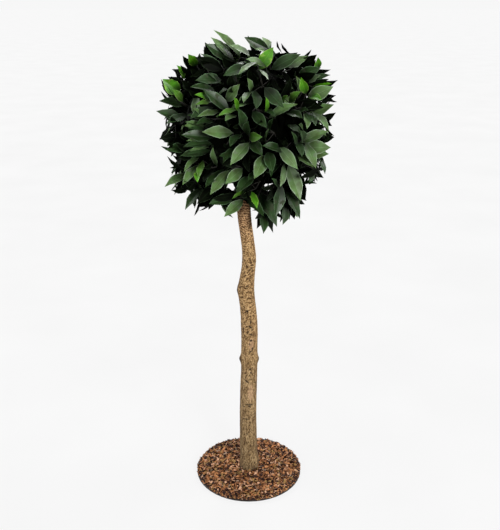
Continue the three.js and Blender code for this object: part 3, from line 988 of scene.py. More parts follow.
        # Painted shade: the top of the stem, under the head, is darkened.
        painted_top_shade = self.top_dark * smoothstep(*self.top_band, wandering)
        stains_and_shade = np.maximum(stains_and_shade, np.maximum(dark_foot, painted_top_shade))
        low, more, most = self.relief_shares
        turn = np.radians(azimuth)
        ring = np.stack([np.cos(turn), np.sin(turn), np.zeros_like(turn)], -1)
        points = self.middle(height[:, 0])[:, None, :] + ring * radius[..., None]
        return {
            "points": points,
            "stem_height": height * MM,
            "relief": np.clip(0.5 + (low + more * upper + most * rippled) * flecks, 0, 1),
            "stains_and_shade": stains_and_shade,
            "bare": bare,
        }

    def build(self) -> bpy.types.Object:
        """The stem with its bark, closed by a point at each end.

        Returns:
            The piece, in place of the solid trunk.
        """
        made = self.surface()
        ends = self.middle(np.array([self.foot, self.top]))
        points = np.vstack([made["points"].reshape(-1, 3), ends]) * MM
        faces = Faces.tube(self.rows, self.columns)
        piece = mesh_piece("stem_bark", points, faces, [StemBark().material()])
        for name in ("stem_height", "relief", "stains_and_shade", "bare"):
            values = made[name]
            add_values(piece, name, np.concatenate([values.ravel(), values[0, :1], values[-1, :1]]))
        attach(piece, "root")
        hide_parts("trunk")
        return piece


# The head of leaves


ANY_PHASE = (0.0, 2 * np.pi)


def drawn(rng: np.random.Generator, count: int, **ranges: Pair) -> dict[str, Array]:
    """Numbers drawn evenly from ranges, in the order of their names.

    Args:
        rng: The source of the uneven numbers.
        count: How many numbers each name gets.
        **ranges: The lowest and highest by name. A range of no width isn't drawn.

    Returns:
        The arrays by name.
    """
    return {
        name: rng.uniform(low, high, count) if high > low else np.full(count, low)
        for name, (low, high) in ranges.items()
    }


@dataclass(frozen=True)
class Mass:
    """One mass of foliage: its name, the way it lies from the crown's centre, and its bough's root."""

    name: str
    direction: Array
    azimuth: float
    root_height: float | None
    seed: int

    @property
    def hangs(self) -> bool:
        """Whether it is in the lower ring, which has one more spray that hangs by the stem."""
        return self.name.startswith("lower")


@dataclass(frozen=True)
class Shoot:
    """A twig that ends in a rosette of leaves.

    Attributes:
        root: Where it leaves its stem or twig, in mm.
        tip: Its end, in mm.
        axis: The way its rosette faces.
        turn: Degrees that its first leaf is turned round it.
        radii: Its radius at its root and its tip.
    """

    root: Array
    tip: Array
    axis: Array
    turn: float
    radii: Pair


@dataclass
class CrownRule:
    """The rule by which the head grows, in mm, as the solids' source has it."""

    centre: Array = field(default_factory=lambda: np.array([-6.0, 0.0, 1078.0]))
    half: Array = field(default_factory=lambda: np.array([238.0, 236.0, 246.0]))
    squareness: float = 2.6
    per_ring: int = 5
    rings: tuple[tuple[str, float, float, float], ...] = (
        ("upper", 28, -90, 966),
        ("lower", -32, -54, 930),
    )
    hanging_elevation: float = -64
    first_seed: int = 177
    seed_step: int = 37
    sprays: int = 10
    tilt_most: float = 35
    tilt_spread: float = 5
    bearing_spread: float = 18
    reach_spread: float = 0.07
    spray_depth: float = 57
    spray_radii: Pair = (2.4, 1.5)
    twigs_from: Pair = (124, 134)
    upright: float = 1.6
    space_margin: float = 3.6
    bough_end: float = 58
    bough_radii: Pair = (8, 5)
    leader_radius: float = 11
    bough_rise: float = 50
    bough_leaving: float = 0.4
    bough_arriving: float = 0.2
    bough_sink: float = 4
    clearance: float = 0.3

    def masses(self) -> list[Mass]:
        """The masses in the order of their seeds.

        Returns:
            The top one, and then each ring's, evenly round it.
        """
        listed = [("top", UP.copy(), 0.0, None)]
        for ring, elevation, turn, root in self.rings:
            for i in range(self.per_ring):
                azimuth = turn + i * 360 / self.per_ring
                listed.append((f"{ring}_{i + 1}", direction_of(azimuth, elevation), azimuth, root))
        return [Mass(*row, self.first_seed + self.seed_step * i) for i, row in enumerate(listed)]

    def reach(self, directions: Array) -> Array:
        """How far the leaves reach from the centre: a superellipsoid, |x/a|^p + |y/b|^p + |z/c|^p = 1."""
        return np.sum(np.abs(directions / self.half) ** self.squareness, -1) ** (-1 / self.squareness)

    def from_centre(self, direction: Array, distance: Array | float) -> Array:
        """The point at a distance from the centre along a direction."""
        return self.centre + direction * np.asarray(distance)[..., None]

    def in_space(self, mass: Mass, masses: Sequence[Mass], point: Array, margin: float) -> bool:
        """Whether a point lies nearer to a mass's direction than to any other's.

        Args:
            mass: The mass.
            masses: All masses.
            point: The point.
            margin: By how many mm, measured square to the plane between two masses.

        Returns:
            True or false.
        """
        offset = point - self.centre
        others = [unit(mass.direction - other.direction) for other in masses if other is not mass]
        return bool(np.all(np.array(others) @ offset >= margin))

    def sprays_of(self, mass: Mass, masses: Sequence[Mass]) -> list[Shoot]:
        """The sprays of a mass, drawn in the same order as in the solids' source.

        Spray i leans from the mass's direction by 35 degrees times the square root of (i + 1/2) / n,
        at i golden angles round it. Its tip lies a spray's depth inside the reach of the leaves.

        Args:
            mass: The mass.
            masses: All masses, whose space it keeps out of.

        Returns:
            The sprays whose tips lie in the mass's own space.
        """
        numbers = EvenNumbers(mass.seed)
        directions = []
        for i in range(self.sprays):
            tilt = self.tilt_most * math.sqrt((i + 0.5) / self.sprays) + numbers.spread(self.tilt_spread)
            bearing = i * GOLDEN_ANGLE + numbers.spread(self.bearing_spread)
            directions.append(leaning(mass.direction, tilt, bearing))
        if mass.hangs:
            directions.append(direction_of(mass.azimuth, self.hanging_elevation))
        found = []
        for direction in directions:
            reach = self.reach(direction) * (1 + numbers.spread(self.reach_spread))
            tip = self.from_centre(direction, reach - self.spray_depth)
            root = self.from_centre(mass.direction, mix(*self.twigs_from, numbers.next()))
            axis = unit(unit(tip - root) + direction * self.upright)
            found.append(Shoot(root, tip, axis, 360 * numbers.next(), self.spray_radii))
        return [shoot for shoot in found if self.in_space(mass, masses, shoot.tip, self.space_margin)]

    def bough_line(self, mass: Mass, stem: Stem, count: int) -> Array:
        """A bough's middle line: a Bezier curve out of the stem's side, or on from its tip.

        Args:
            mass: The mass that the bough carries.
            stem: The stem that it leaves.
            count: How many points to give.

        Returns:
            The points.
        """
        end = self.from_centre(mass.direction, self.bough_end)
        if mass.root_height is None:
            start = stem.middle(stem.top) + UP * self.clearance
            lift = UP * (end[2] - start[2]) / 2
            return bezier([start, start + lift, end - lift, end], count)
        outward = direction_of(mass.azimuth, 0)
        depth = float(stem.plain_radius(mass.root_height)[0]) - self.bough_sink
        start = stem.middle(mass.root_height) + outward * depth
        length = float(np.linalg.norm(end - start))
        leaving = start + direction_of(mass.azimuth, self.bough_rise) * length * self.bough_leaving
        arriving = end - mass.direction * length * self.bough_arriving
        return bezier([start, leaving, arriving, end], count)


@dataclass
class LeafShape:
    """A bay leaf: a pointed ellipse, folded along its midrib, waved at its margin and bent back.

    One leaf has a point at its root, stations with six points on top and one below, and a point at
    its tip. It is closed, with the midrib as a narrow strip of its own colour.

    Attributes:
        stations: How many stations there are.
        end_shares: Where the first station would lie, and how much of a half turn they cover.
        across_shares: Where a station's points lie on top, as shares of half the width.
        lead: The power of the share along the leaf, which moves its widest place towards the root.
        point: The power that draws its ends to points.
        stalk: The share of its length over which it widens from its stalk.
        stalk_half_width: In mm.
        rib_half_width: In mm.
        rib_taper: What the rib's half width is times at its root, and how much less at its tip.
        rib_rise: How far the midrib stands out, in mm.
        thickness: In mm.
        most: The rib's half width and the thickness at most, as a share of half the width.
        waves: How many waves the margin has along the leaf.
        wave_height: How high they are, as a share of half the width.
        least_bend: Radians that are added to each bend, so that none is quite straight.
    """

    stations: int = 7
    end_shares: Pair = (0.06, 0.86)
    across_shares: tuple[float, ...] = (-1, -0.55, 0, 0, 0.55, 1)
    lead: float = 0.95
    point: float = 1.15
    stalk: float = 0.1
    stalk_half_width: float = 0.9
    rib_half_width: float = 0.5
    rib_taper: Pair = (1.15, 0.7)
    rib_rise: float = 0.15
    thickness: float = 0.8
    most: float = 0.4
    waves: float = 2.5
    wave_height: float = 0.13
    least_bend: float = 1e-4

    @property
    def columns(self) -> int:
        """How many points a station has on top."""
        return len(self.across_shares)

    def shares(self) -> Array:
        """Where the stations lie along the leaf: half a cosine, so close together at both ends.

        Returns:
            Their shares of the leaf's length.
        """
        even = np.arange(1, self.stations + 1) / (self.stations + 1)
        first, covered = self.end_shares
        return 0.5 - 0.5 * np.cos(np.pi * (first + covered * even))

    def faces(self) -> Faces:
        """The faces of one leaf, with slot 0 on top, 1 below and 2 on the midrib.

        Triangles fan out from the root, quads join the stations, and triangles meet at the tip.

        Returns:
            The faces.
        """
        per, last = self.columns + 1, 1 + self.stations * (self.columns + 1)
        found: list[list[int]] = []
        slots: list[int] = []
        rows = [[1 + station * per + column for station in range(self.stations)] for column in range(per)]
        for column, row in enumerate(rows[: self.columns - 1]):
            found.append([0, row[0], row[0] + 1])
            found += [[here, here + per, here + per + 1, here + 1] for here in row[:-1]]
            found.append([row[-1], last, row[-1] + 1])
            slots += [2 if column == self.columns // 2 - 1 else 0] * (self.stations + 1)
        for left, right in ((rows[-1], rows[0]), (rows[-2], rows[-1])):
            found.append([0, left[0], right[0]])
            found += [list(quad) for quad in zip(left, left[1:], right[1:], right)]
            found.append([left[-1], last, right[-1]])
            slots += [1] * (self.stations + 1)
        return Faces.of(found, slots)

    def margin(self) -> Array:
        """How far each point of a leaf lies from its midrib, as a share of half its width."""
        station = np.concatenate([np.abs(self.across_shares), [0.0]])
        return np.concatenate([[0.0], np.tile(station, self.stations), [0.0]])

    def along(self) -> Array:
        """How far along the leaf each of its points lies, from 0 at the root to 1 at the tip."""
        return np.concatenate([[0.0], np.repeat(self.shares(), self.columns + 1), [1.0]])

    def rim(self) -> Array:
        """Which points of a leaf lie on its margin or at its ends.

        Returns:
            A mark for each point.
        """
        marks = np.zeros(2 + self.stations * (self.columns + 1), bool)
        marks[[0, -1]] = True
        starts = 1 + np.arange(self.stations) * (self.columns + 1)
        marks[starts] = True
        marks[starts + self.columns - 1] = True
        return marks

    def points(self, leaves: "Leaves") -> Array:
        """The points of many leaves.

        The midrib is an arc of the leaf's own bend. Half the width is half the length times the
        aspect, times sin(pi * t^lead)^point. The margin is lifted by the fold, lowered by the cup and
        waved by a sine along the leaf, and the blade is turned by its twist on the way to its tip.

        Args:
            leaves: The leaves, n of them.

        Returns:
            n x points of a leaf x 3, in mm.
        """
        share = self.shares()[None, :]
        length = leaves.length[:, None]
        bend = leaves.bend[:, None] + self.least_bend
        along = length * np.sin(bend * share) / bend
        sink = -length * (1 - np.cos(bend * share)) / bend
        half = length * leaves.aspect[:, None] / 2 * np.sin(np.pi * share**self.lead) ** self.point
        half = np.maximum(half * smoothstep(0.0, self.stalk, share), self.stalk_half_width)
        full, less = self.rib_taper
        rib = np.minimum(self.rib_half_width * (full - less * share), half * self.most)
        reach = np.array(self.across_shares)
        ribs = np.array([0, 0, -1, 1, 0, 0])
        across = half[..., None] * reach + rib[..., None] * ribs
        part = across / half[..., None]
        wave = np.sin(2 * np.pi * self.waves * share + leaves.phase[:, None])[..., None] * part
        fold, cup = leaves.fold[:, None, None], leaves.cup[:, None, None]
        shape = fold * np.abs(part) - cup * part * part + self.wave_height * wave * np.abs(part)
        lift = half[..., None] * shape
        lift = lift + np.abs(ribs) * self.rib_rise
        under = -np.minimum(self.thickness, half * self.most)[..., None]
        across = np.concatenate([across, np.zeros_like(under)], -1)
        lift = np.concatenate([lift, under], -1)
        turn = (leaves.twist[:, None] * share)[..., None]
        across, lift = (
            across * np.cos(turn) - lift * np.sin(turn),
            across * np.sin(turn) + lift * np.cos(turn),
        )
        slope = (bend * share)[..., None]
        x = along[..., None] + lift * np.sin(slope)
        z = sink[..., None] + lift * np.cos(slope)
        inner = np.stack([x, across, z], -1).reshape(len(leaves.length), -1, 3)
        length, bend = length[:, 0], bend[:, 0]
        tip_x, tip_z = length * np.sin(bend) / bend, -length * (1 - np.cos(bend)) / bend
        tip = np.stack([tip_x, 0 * tip_x, tip_z], -1)[:, None]
        local = np.concatenate([np.zeros_like(tip), inner, tip], axis=1)
        side = np.cross(leaves.up, leaves.along)
        turned = (
            local[..., 0:1] * leaves.along[:, None]
            + local[..., 1:2] * side[:, None]
            + local[..., 2:3] * leaves.up[:, None]
        )
        return leaves.root[:, None] + turned


@dataclass
class Leaves:
    """Many leaves as arrays: where each is rooted, how it lies, its sizes and its tone.

    Attributes:
        root: Where each is rooted, in mm.
        along: Unit vectors from root to tip at the root.
        up: Unit vectors that the tops face.
        length: In mm.
        aspect: Width over length.
        bend: Radians that the midrib bends back from root to tip.
        fold: How far the margin rises, as a share of half the width.
        cup: How far the blade arches between them, as the same share.
        twist: Radians that the blade turns from root to tip.
        phase: Radians, where the margin's wave starts. It also tells which leaves are painted nearly black,
        as shade, where they go back, since it is even and nothing else in the rule needs it.
        tone: The number of each leaf's tone.
    """

    root: Array
    along: Array
    up: Array
    length: Array
    aspect: Array
    bend: Array
    fold: Array
    cup: Array
    twist: Array
    phase: Array
    tone: Array

    def chosen(self, which: Array) -> "Leaves":
        """The leaves that are marked."""
        return Leaves(*(getattr(self, name)[which] for name in self.__dataclass_fields__))

    @staticmethod
    def together(groups: Sequence["Leaves"]) -> "Leaves":
        """All the leaves of many groups."""
        names = Leaves.__dataclass_fields__
        return Leaves(*(np.concatenate([getattr(g, name) for g in groups]) for name in names))


# The leaves that the front of the head shows one by one, read off the photo, by their tone: the deep
# ones are painted shade, the sheen ones painted sheen and the pale one a painted reflection. Each row is
# the place of a leaf's root and of its tip and how wide it looks, in the photo's pixels, and then how far
# it lies below the outermost leaves, in mm.
FRONT_LEAVES: dict[Tone, tuple[tuple[float, ...], ...]] = {
    Tone.DEEP: (
        (216, 63, 204, 46, 6, 8), (200, 72, 182.5, 55.5, 8, 3), (224, 70, 195, 57, 13, 0),
        (193, 73, 180.5, 65, 5, 4), (207, 67, 189, 77, 4, 0), (181, 80, 171, 76, 3, 4),
        (178, 101, 161, 79, 5, 5), (173, 103, 161, 91, 3, 4), (188, 137, 159, 138.5, 12, 4),
        (185, 170, 167, 156, 4, 4), (184, 163, 169.5, 168, 3, 6), (191, 186, 171, 190, 6, 4),
        (237, 194, 212, 198, 8, 10), (214, 187, 197, 204, 12, 8), (200, 201, 194, 216, 3, 4),
        (197, 181, 186, 190, 5, 4), (282, 53, 277, 41, 2, 4), (291, 55, 281, 43, 2.5, 4),
        (308, 70, 331, 69.5, 5, 6), (308, 84, 338, 80, 8, 4), (302, 112, 333, 96, 6, 4),
        (314, 120, 336, 112.5, 8, 4), (325.5, 123.5, 334.5, 136, 1.8, 2), (291, 142, 302, 170, 4, 0),
        (320, 167, 300, 177, 6, 8), (299, 184, 306.5, 201, 8, 8), (262, 209, 255, 219, 5, 6),
        (298, 67, 317, 54.5, 11, 4), (298, 60, 311.5, 49.5, 3, 6), (274, 56, 298, 52.5, 8, 6),
        (246, 149, 250, 173, 8, 6), (275, 183, 261, 188, 5, 6), (273, 188, 266, 201, 5, 6),
        (262, 59, 249, 49.5, 7, 6), (282, 98, 289.5, 79, 8, 4), (205, 97, 188, 89, 6, 6),
        (176, 138, 168, 148, 5, 8), (180, 125, 171, 116, 6, 8), (196, 148, 176, 143, 7, 6),
        (322, 90, 333, 100, 6, 8), (326, 118, 332, 126, 4, 8), (290, 70, 303, 66, 5, 4),
        (238, 82, 228, 92, 6, 6), (258, 85, 249, 68, 9, 6), (255, 128, 261, 119, 6, 4),
        (232, 148, 224, 143, 5, 6), (300, 84, 329, 79, 8, 12), (298, 98, 324, 108, 10, 14),
        (306, 122, 326, 127, 9, 12), (296, 78, 316, 73, 9, 12), (294, 104, 318, 100, 9, 12),
        (200, 92, 182, 80, 9, 10), (216, 66, 200, 60, 8, 10), (236, 66, 222, 57, 8, 10),
        (196, 140, 178, 131, 9, 10), (196, 152, 178, 157, 8, 10), (198, 184, 184, 181, 8, 10),
        (206, 76, 190, 68, 8, 10), (243, 122, 232, 127, 5, 6), (276, 137, 285, 147, 6, 8),
        (216, 160, 203, 168, 6, 8), (282, 72, 294, 82, 6, 10), (272, 78, 282, 90, 6, 6),
        (240, 94, 231, 104, 5, 6), (253, 184, 240, 198, 9, 2), (240, 185, 251, 200, 8, 4),
        (304, 66, 316, 60, 8, 6),
    ),
    Tone.MIDDLE: (
        (236, 62, 204.5, 43.5, 12, 4), (188, 105, 159, 101, 10, 0), (184, 119, 156, 111, 9, 3),
        (188, 114, 166, 124, 9, 0), (222, 80, 195, 80.5, 10, 0), (225, 70, 200, 53.5, 5, 2),
        (250, 66, 223, 76, 10, 2), (216, 92, 190, 87, 8, 0), (230, 112, 203, 90, 11, 5),
        (214, 107, 190, 119, 8, 4), (213, 138, 181, 135, 12, 4), (213, 144, 183, 147, 9, 5),
        (211, 152, 180, 156, 8, 6), (189, 148, 165.5, 150, 10, 4), (224, 169, 205, 187.5, 9, 4),
        (239, 146, 223, 163.5, 8, 4), (241, 134, 230, 147, 8, 2), (254, 176, 236, 193.5, 11, 0),
        (234, 198, 208.5, 204, 11, 3), (203, 187, 185, 210, 8, 4), (270, 50, 244, 37, 11, 0),
        (270, 70, 301, 54, 12, 5), (297, 77, 321, 67.5, 12, 0), (306, 81, 331, 75, 6, 4),
        (264, 87, 284, 108, 14, 0), (255, 90, 256, 109.5, 10, 2), (286, 113, 303, 118.5, 7, 5),
        (306, 112, 316, 126, 8, 6), (247, 135, 248.5, 121, 9, 0), (252, 111, 267, 128, 11, 4),
        (252, 141, 262.5, 156, 12, 2), (268, 151, 272.5, 173, 12, 2), (281, 164, 271, 177, 7, 4),
        (283, 152, 262, 146, 9, 0), (295, 140, 302, 157, 8, 4), (303, 142, 300, 130, 6, 4),
        (317, 156, 325, 174.5, 5, 6), (298, 184, 317, 183.5, 4, 8), (314, 169, 309, 182, 5, 6),
        (285, 190, 300, 219, 10, 10), (281, 183, 275, 217, 12, 0), (285, 204, 282.5, 225, 8, 10),
        (256, 189, 277, 227, 14, 4), (262, 210, 263.3, 234, 9.5, 6), (246, 199, 264, 216.5, 8, 6),
        (244, 131, 238, 108, 9, 8), (279, 188, 271.5, 178, 4, 6), (270, 133, 273.5, 118, 5, 4),
        (297, 147, 291, 131, 4, 4), (222, 84, 208, 73, 5, 6), (322, 142, 330, 139, 5, 8),
        (262, 170, 248, 181, 7, 8), (236, 158, 219, 156, 6, 8), (214, 122, 196, 124, 6, 7),
        (262, 110, 276, 117, 5, 8), (288, 124, 300, 133, 6, 8), (247, 180, 238, 192, 7, 4),
        (204, 122, 187, 115, 4, 3), (207, 131, 188, 129, 4, 2), (212, 150, 186, 154, 4, 2),
        (206, 154, 190, 160, 4, 4), (296, 113, 309, 110, 5, 8),
    ),
    Tone.SHEEN: (
        (241, 58, 213.5, 30, 6.5, 0), (233, 60, 210.5, 37, 8, 5), (252, 56, 229, 45, 6, 8),
        (257, 62, 238, 75, 5, 0), (226, 102, 240, 84, 11, 0), (222, 111, 197, 117, 6, 4),
        (204, 128, 184, 126, 9, 6), (234, 133, 202, 132, 12.5, 0), (189, 174, 164.5, 187, 9, 2),
        (200, 164, 182.5, 185, 9, 0), (200, 157, 184, 172, 6, 2), (217, 167, 213, 147, 6, 4),
        (231, 169, 210, 195, 11, 0), (243, 168, 225, 184, 12, 6), (250, 142, 230, 165.5, 12, 0),
        (244, 199, 224, 217, 11, 0), (266, 66, 246, 59, 6, 4), (286, 68, 309, 56, 9, 2),
        (306, 99, 333.5, 86.5, 14, 0), (299, 93, 296, 76, 5, 6), (307, 116, 334, 104.5, 11, 0),
        (268, 119, 298, 104, 9, 4), (252, 91, 243.5, 103, 6, 4), (250, 93, 247, 78, 6, 4),
        (304, 113, 307, 129, 6, 2), (312, 112, 329, 131, 7, 2), (266, 154, 254, 179, 14, 0),
        (278, 145, 298, 169.5, 12, 6), (288, 163, 300.5, 201, 14, 3), (299, 143, 329, 131, 11, 0),
        (303, 147, 331, 147.5, 14, 2), (305, 142, 316, 168.5, 10, 0), (294, 155, 313.5, 167.5, 9, 4),
        (284, 163, 280, 187, 6, 2), (304, 152, 329, 154, 12, 6), (236, 115, 225, 121, 6, 5),
        (265, 144, 269, 128, 2.5, 2), (257, 69, 268.5, 80, 3, 4), (308, 83, 321, 75.5, 5, 6),
        (205, 118, 192, 108, 4, 3), (206, 127, 185, 122, 4, 2), (208, 141, 186, 141, 4, 2),
        (210, 147, 189, 151, 4, 2), (268, 54, 255, 49, 3.5, 3),
    ),
    Tone.FRESH: (
        (183, 102, 172, 89, 7, 3), (214, 101, 195, 105, 4.5, 2), (238, 109, 218, 116, 5, 0),
        (203, 160, 199, 178, 7, 3), (250, 191, 232, 199, 5, 0), (289, 103, 301, 91, 8, 2),
        (280, 106, 288, 95, 5, 1), (249, 137, 262.5, 137, 10, 2),
    ),
    Tone.YOUNG: (
        (197, 66, 188, 54, 10, 0), (185, 80, 176.5, 65, 5, 0), (181, 94, 162.5, 79, 15, 0),
        (212, 101, 194.5, 94.5, 5, 0), (239, 112, 234, 97, 5, 0), (199, 167, 197.5, 182.5, 7, 0),
        (258, 70, 273.5, 47, 13, 0), (317, 70, 318, 57, 7, 2), (312, 87, 332, 83.5, 4, 0),
        (306, 94, 301, 77, 9, 0), (309, 97, 322, 100, 6, 0), (266, 113, 266, 97, 4.5, 0),
        (250, 190, 257, 209, 7, 0),
    ),
    Tone.PALE: (
        (270, 52, 262, 37, 9, 8),
    ),
}

# Where the photo shows sky or the stem's top between the leaves: the middle of each gap and its
# radius, in its pixels.
OPEN_SPOTS = (
    (230.5, 185.5, 2.3), (269, 185, 2.5), (304, 173, 2.5), (244.5, 209, 5), (246, 220, 5),
    (184, 198, 6), (217, 211.5, 5), (302, 209, 4), (171, 163, 3.5), (245, 41, 2), (235, 38, 5),
)


@dataclass(frozen=True)
class Viewpoint:
    """Where the photo was taken from, as worked out from the plate's ellipse and the stem.

    Attributes:
        eye: Its place, in mm.
        pitch: How far it looks down, in degrees.
        lens: Its focal length, in mm.
        sensor: The longer side of its sensor, in mm.
        picture: The photo's width and height, in pixels.
    """

    eye: Triple = (3.8, -1996.3, 1431.6)
    pitch: float = 20.18
    lens: float = 50.0
    sensor: float = 36.0
    picture: tuple[int, int] = (500, 530)

    def ways(self, pixels: Array) -> Array:
        """The ways from the eye through pixels, as a pinhole camera has them.

        Args:
            pixels: Their places, u to the right and v down, along the last axis.

        Returns:
            Unit vectors.
        """
        focal = self.lens / self.sensor * max(self.picture)
        right = (pixels[..., 0] - self.picture[0] / 2) / focal
        rise = (self.picture[1] / 2 - pixels[..., 1]) / focal
        level, down = math.cos(math.radians(self.pitch)), math.sin(math.radians(self.pitch))
        return unit(np.stack([right, level + rise * down, rise * level - down], -1))

    def on_plane(self, pixels: Array) -> Array:
        """The spots of pixels on the upright plane through the stem."""
        return self.spots(self.at(self.ways(pixels), np.ones(len(pixels))))

    def spots(self, points: Array) -> Array:
        """Where points are seen on the upright plane through the stem.

        Args:
            points: The points, along the last axis.

        Returns:
            The spots' x and z, in mm.
        """
        eye = np.array(self.eye)
        share = -eye[1] / (points[..., 1:2] - eye[1])
        return (eye + (points - eye) * share)[..., [0, 2]]

    def distances(self, points: Array) -> Array:
        """How far points are from the eye."""
        return np.linalg.norm(points - np.array(self.eye), axis=-1)

    def at(self, ways: Array, distances: Array) -> Array:
        """The points at distances from the eye."""
        return np.array(self.eye) + ways * distances[..., None]


@dataclass
class Head:
    """The head of leaves: boughs, twigs and rosettes that grow on from the stem by the rule.

    Sizes are in mm. The front's leaves are set one by one among the rule's.
    """

    stem: Stem
    rule: CrownRule = field(default_factory=CrownRule)
    shape: LeafShape = field(default_factory=LeafShape)
    view: Viewpoint = field(default_factory=Viewpoint)
    seed: int = 5
    # Finer shoots: the distance between tips, the tries from each spray, how each is tilted from the
    # spray and turned round it, its tip's depth below the reach, and where along the spray it forks.
    shoot_spacing: float = 48.0
    side_tries: int = 12
    side_tilt: Pair = (9.0, 22.0)
    side_turn: Pair = (0.0, 60.0)
    side_depth: Pair = (54.0, 84.0)
    side_fork: Pair = (0.3, 0.65)
    side_radii: Pair = (1.7, 1.1)
    # The open space round the stem: its radius, and how far below the head's middle it begins for
    # the tips of shoots and for the inner leaves.
    well_radius: float = 78.0
    well_below: float = 60.0
    inner_below: float = 40.0
    # Tones: how far a front shoot's axis points forward, the share of deep shoots, painted shade, there
    # and elsewhere, and the share of deep and middle ones together; the rest are painted sheen.
    forward: float = 0.35
    deep_shares: Pair = (0.7, 0.34)
    deep_or_middle: float = 0.76
    # Young leaves behind: how far behind the stem a shoot's tip is, the share of such shoots, and how
    # many young leaves each of them has at least, and one more than at most.
    young_behind: float = 40.0
    young_share: float = 0.14
    young_leaves: tuple[int, int] = (1, 4)
    # A rosette: how many leaves, one more or fewer, how far apart they are along the twig, their tilt
    # from it by the power of their age, and how far tilt and bearing are off, in degrees.
    leaves_per_shoot: int = 8
    leaf_spacing: float = 5.5
    leaf_tilt: Pair = (16.0, 88.0)
    tilt_power: float = 0.8
    tilt_off: Pair = (-8, 8)
    bearing_off: Pair = (-12, 12)
    # How far a leaf sags: on a level shoot, how much less on an upright one, the most, and by chance.
    level_sag: float = 0.55
    upright_sag: float = 0.75
    most_sag: float = 1.1
    sag_spread: Pair = (0.6, 1.4)
    # How far its top turns to the sky, how far along the shoot, and how unevenly.
    skyward: float = 0.25
    outward: float = 0.1
    unevenness: float = 0.12
    # The leaves' sizes, from the young to the old ones and by chance.
    leaf_length: Pair = (56.0, 92.0)
    length_spread: Pair = (0.88, 1.1)
    leaf_bend: Pair = (-0.1, 0.75)
    bend_spread: Pair = (-0.2, 0.25)
    leaf_aspect: Pair = (0.33, 0.42)
    # Leaves of another tone than their shoot's: the share of deep ones, painted shade, where the share
    # of shiny ones, painted sheen, begins, and the age, from 0 to 1, at which there are none of these left.
    stray_deep: float = 0.22
    stray_sheen: float = 0.8
    sheen_age: float = 0.6
    # Where the eye's ways are searched for the reach of the leaves, and the level that is inside it.
    search: Triple = (1500.0, 2500.0, 2.0)
    inside_level: float = 0.99
    # A front leaf: the natural length of a small and of a large one and its spread, and how much
    # deeper its root lies than its tip.
    front_lengths: Pair = (58.0, 78.0)
    front_spread: Pair = (0.92, 1.08)
    front_depth: Pair = (14.0, 60.0)
    front_bend: Pair = (0.1, 0.5)
    # How wide its blade is: at most this share of its length, and this many times what shows of it or
    # at least this, in mm. Its top turns up, and half as much outward.
    widest: float = 0.38
    hidden_width: float = 1.6
    least_width: float = 14.0
    turned_out: float = 0.5
    # Its twig: where along a shoot it may start, how far it runs into the leaf, and its radii.
    twig_shares: tuple[float, ...] = (0.45, 0.7, 1.0)
    twig_overlap: float = 1.5
    front_radii: Pair = (1.3, 0.9)
    # A front leaf is hidden by what lies nearer than it, or just behind it, over the inner part of
    # its width and past the first part of its length.
    hidden_from: float = 0.15
    hidden_half: float = 0.4
    hidden_slack: float = 3.0
    # The front's outline: in how many sectors it is taken, from which radius on, and how far a leaf
    # may stand out past it.
    outline_sectors: int = 30
    outline_least: float = 150.0
    outline_slack: float = 6.0
    # A leaf that hides another goes back in such steps and is painted as shade: this share nearly black.
    back_step: float = 14.0
    back_steps: int = 4
    shaded_share: float = 0.55
    # The inner leaves, painted nearly black as shade: how many, at which shares of the reach, how far
    # off the radius they point in degrees, and half their length.
    inner_leaves: int = 1100
    inner_shell: Pair = (0.5, 0.84)
    inner_tilt: Pair = (60, 110)
    half_leaf: float = 35.0
    # The cheeks' leaves: how many, how far forward from the side in degrees, between which levels, at
    # which shares of the reach, how far off straight out they point in degrees, how far their faces
    # look up and how unevenly, and the shares of the three tones.
    cheek_leaves: int = 150
    cheek_turn: Pair = (-8.0, 54.0)
    cheek_level: Pair = (-0.7, 0.85)
    cheek_shell: Pair = (0.78, 0.9)
    cheek_swing: Pair = (-50, 50)
    cheek_lift: float = 0.2
    cheek_unevenness: float = 0.09
    cheek_tones: tuple[tuple[Tone, float], ...] = ((Tone.DEEP, 0.2), (Tone.MIDDLE, 0.45), (Tone.SHEEN, 0.35))
    # Wood: points along a bough, a ring's sides and how uneven its radius is, then the same for a
    # twig, the radii of a mass's stem, and four times a twig's bow, as a share of its length.
    bough_points: int = 28
    bough_sides: int = 14
    bough_unevenness: float = 0.05
    twig_points: int = 5
    twig_sides: int = 6
    mass_stem_radii: Pair = (4.5, 4.0)
    twig_bow: float = 0.12

    def side_shoots(self, parents: list[Shoot], rng: np.random.Generator) -> list[Shoot]:
        """Finer shoots that fork from the sprays wherever the head still has room.

        From each spray, tries lie at golden angles round it. A try is kept where its tip is a
        shoot's spacing or more from every tip that is already there.

        Args:
            parents: The sprays.
            rng: The source of the uneven numbers.

        Returns:
            The finer shoots.
        """
        tips = [shoot.tip for shoot in parents]
        found: list[Shoot] = []
        for attempt in range(self.side_tries):
            for parent in parents:
                direction = unit(parent.tip - self.rule.centre)
                bearing = attempt * GOLDEN_ANGLE + rng.uniform(*self.side_turn)
                way = leaning(direction, rng.uniform(*self.side_tilt), bearing)
                depth = rng.uniform(*self.side_depth)
                tip = self.rule.from_centre(way, float(self.rule.reach(way)) - depth)
                near = np.min(np.linalg.norm(np.array(tips) - tip, axis=1)) < self.shoot_spacing
                if near or self.in_well(tip):
                    continue
                root = mix(parent.root, parent.tip, rng.uniform(*self.side_fork))
                axis = unit(unit(tip - root) + way * self.rule.upright)
                tips.append(tip)
                found.append(Shoot(root, tip, axis, rng.uniform(0, 360), self.side_radii))
        return found

    def in_well(self, point: Array) -> bool:
        """Whether a point lies in the open space round the stem, below the head's middle."""
        offset = point - self.rule.centre
        return bool(np.linalg.norm(offset[:2]) < self.well_radius and offset[2] < -self.well_below)

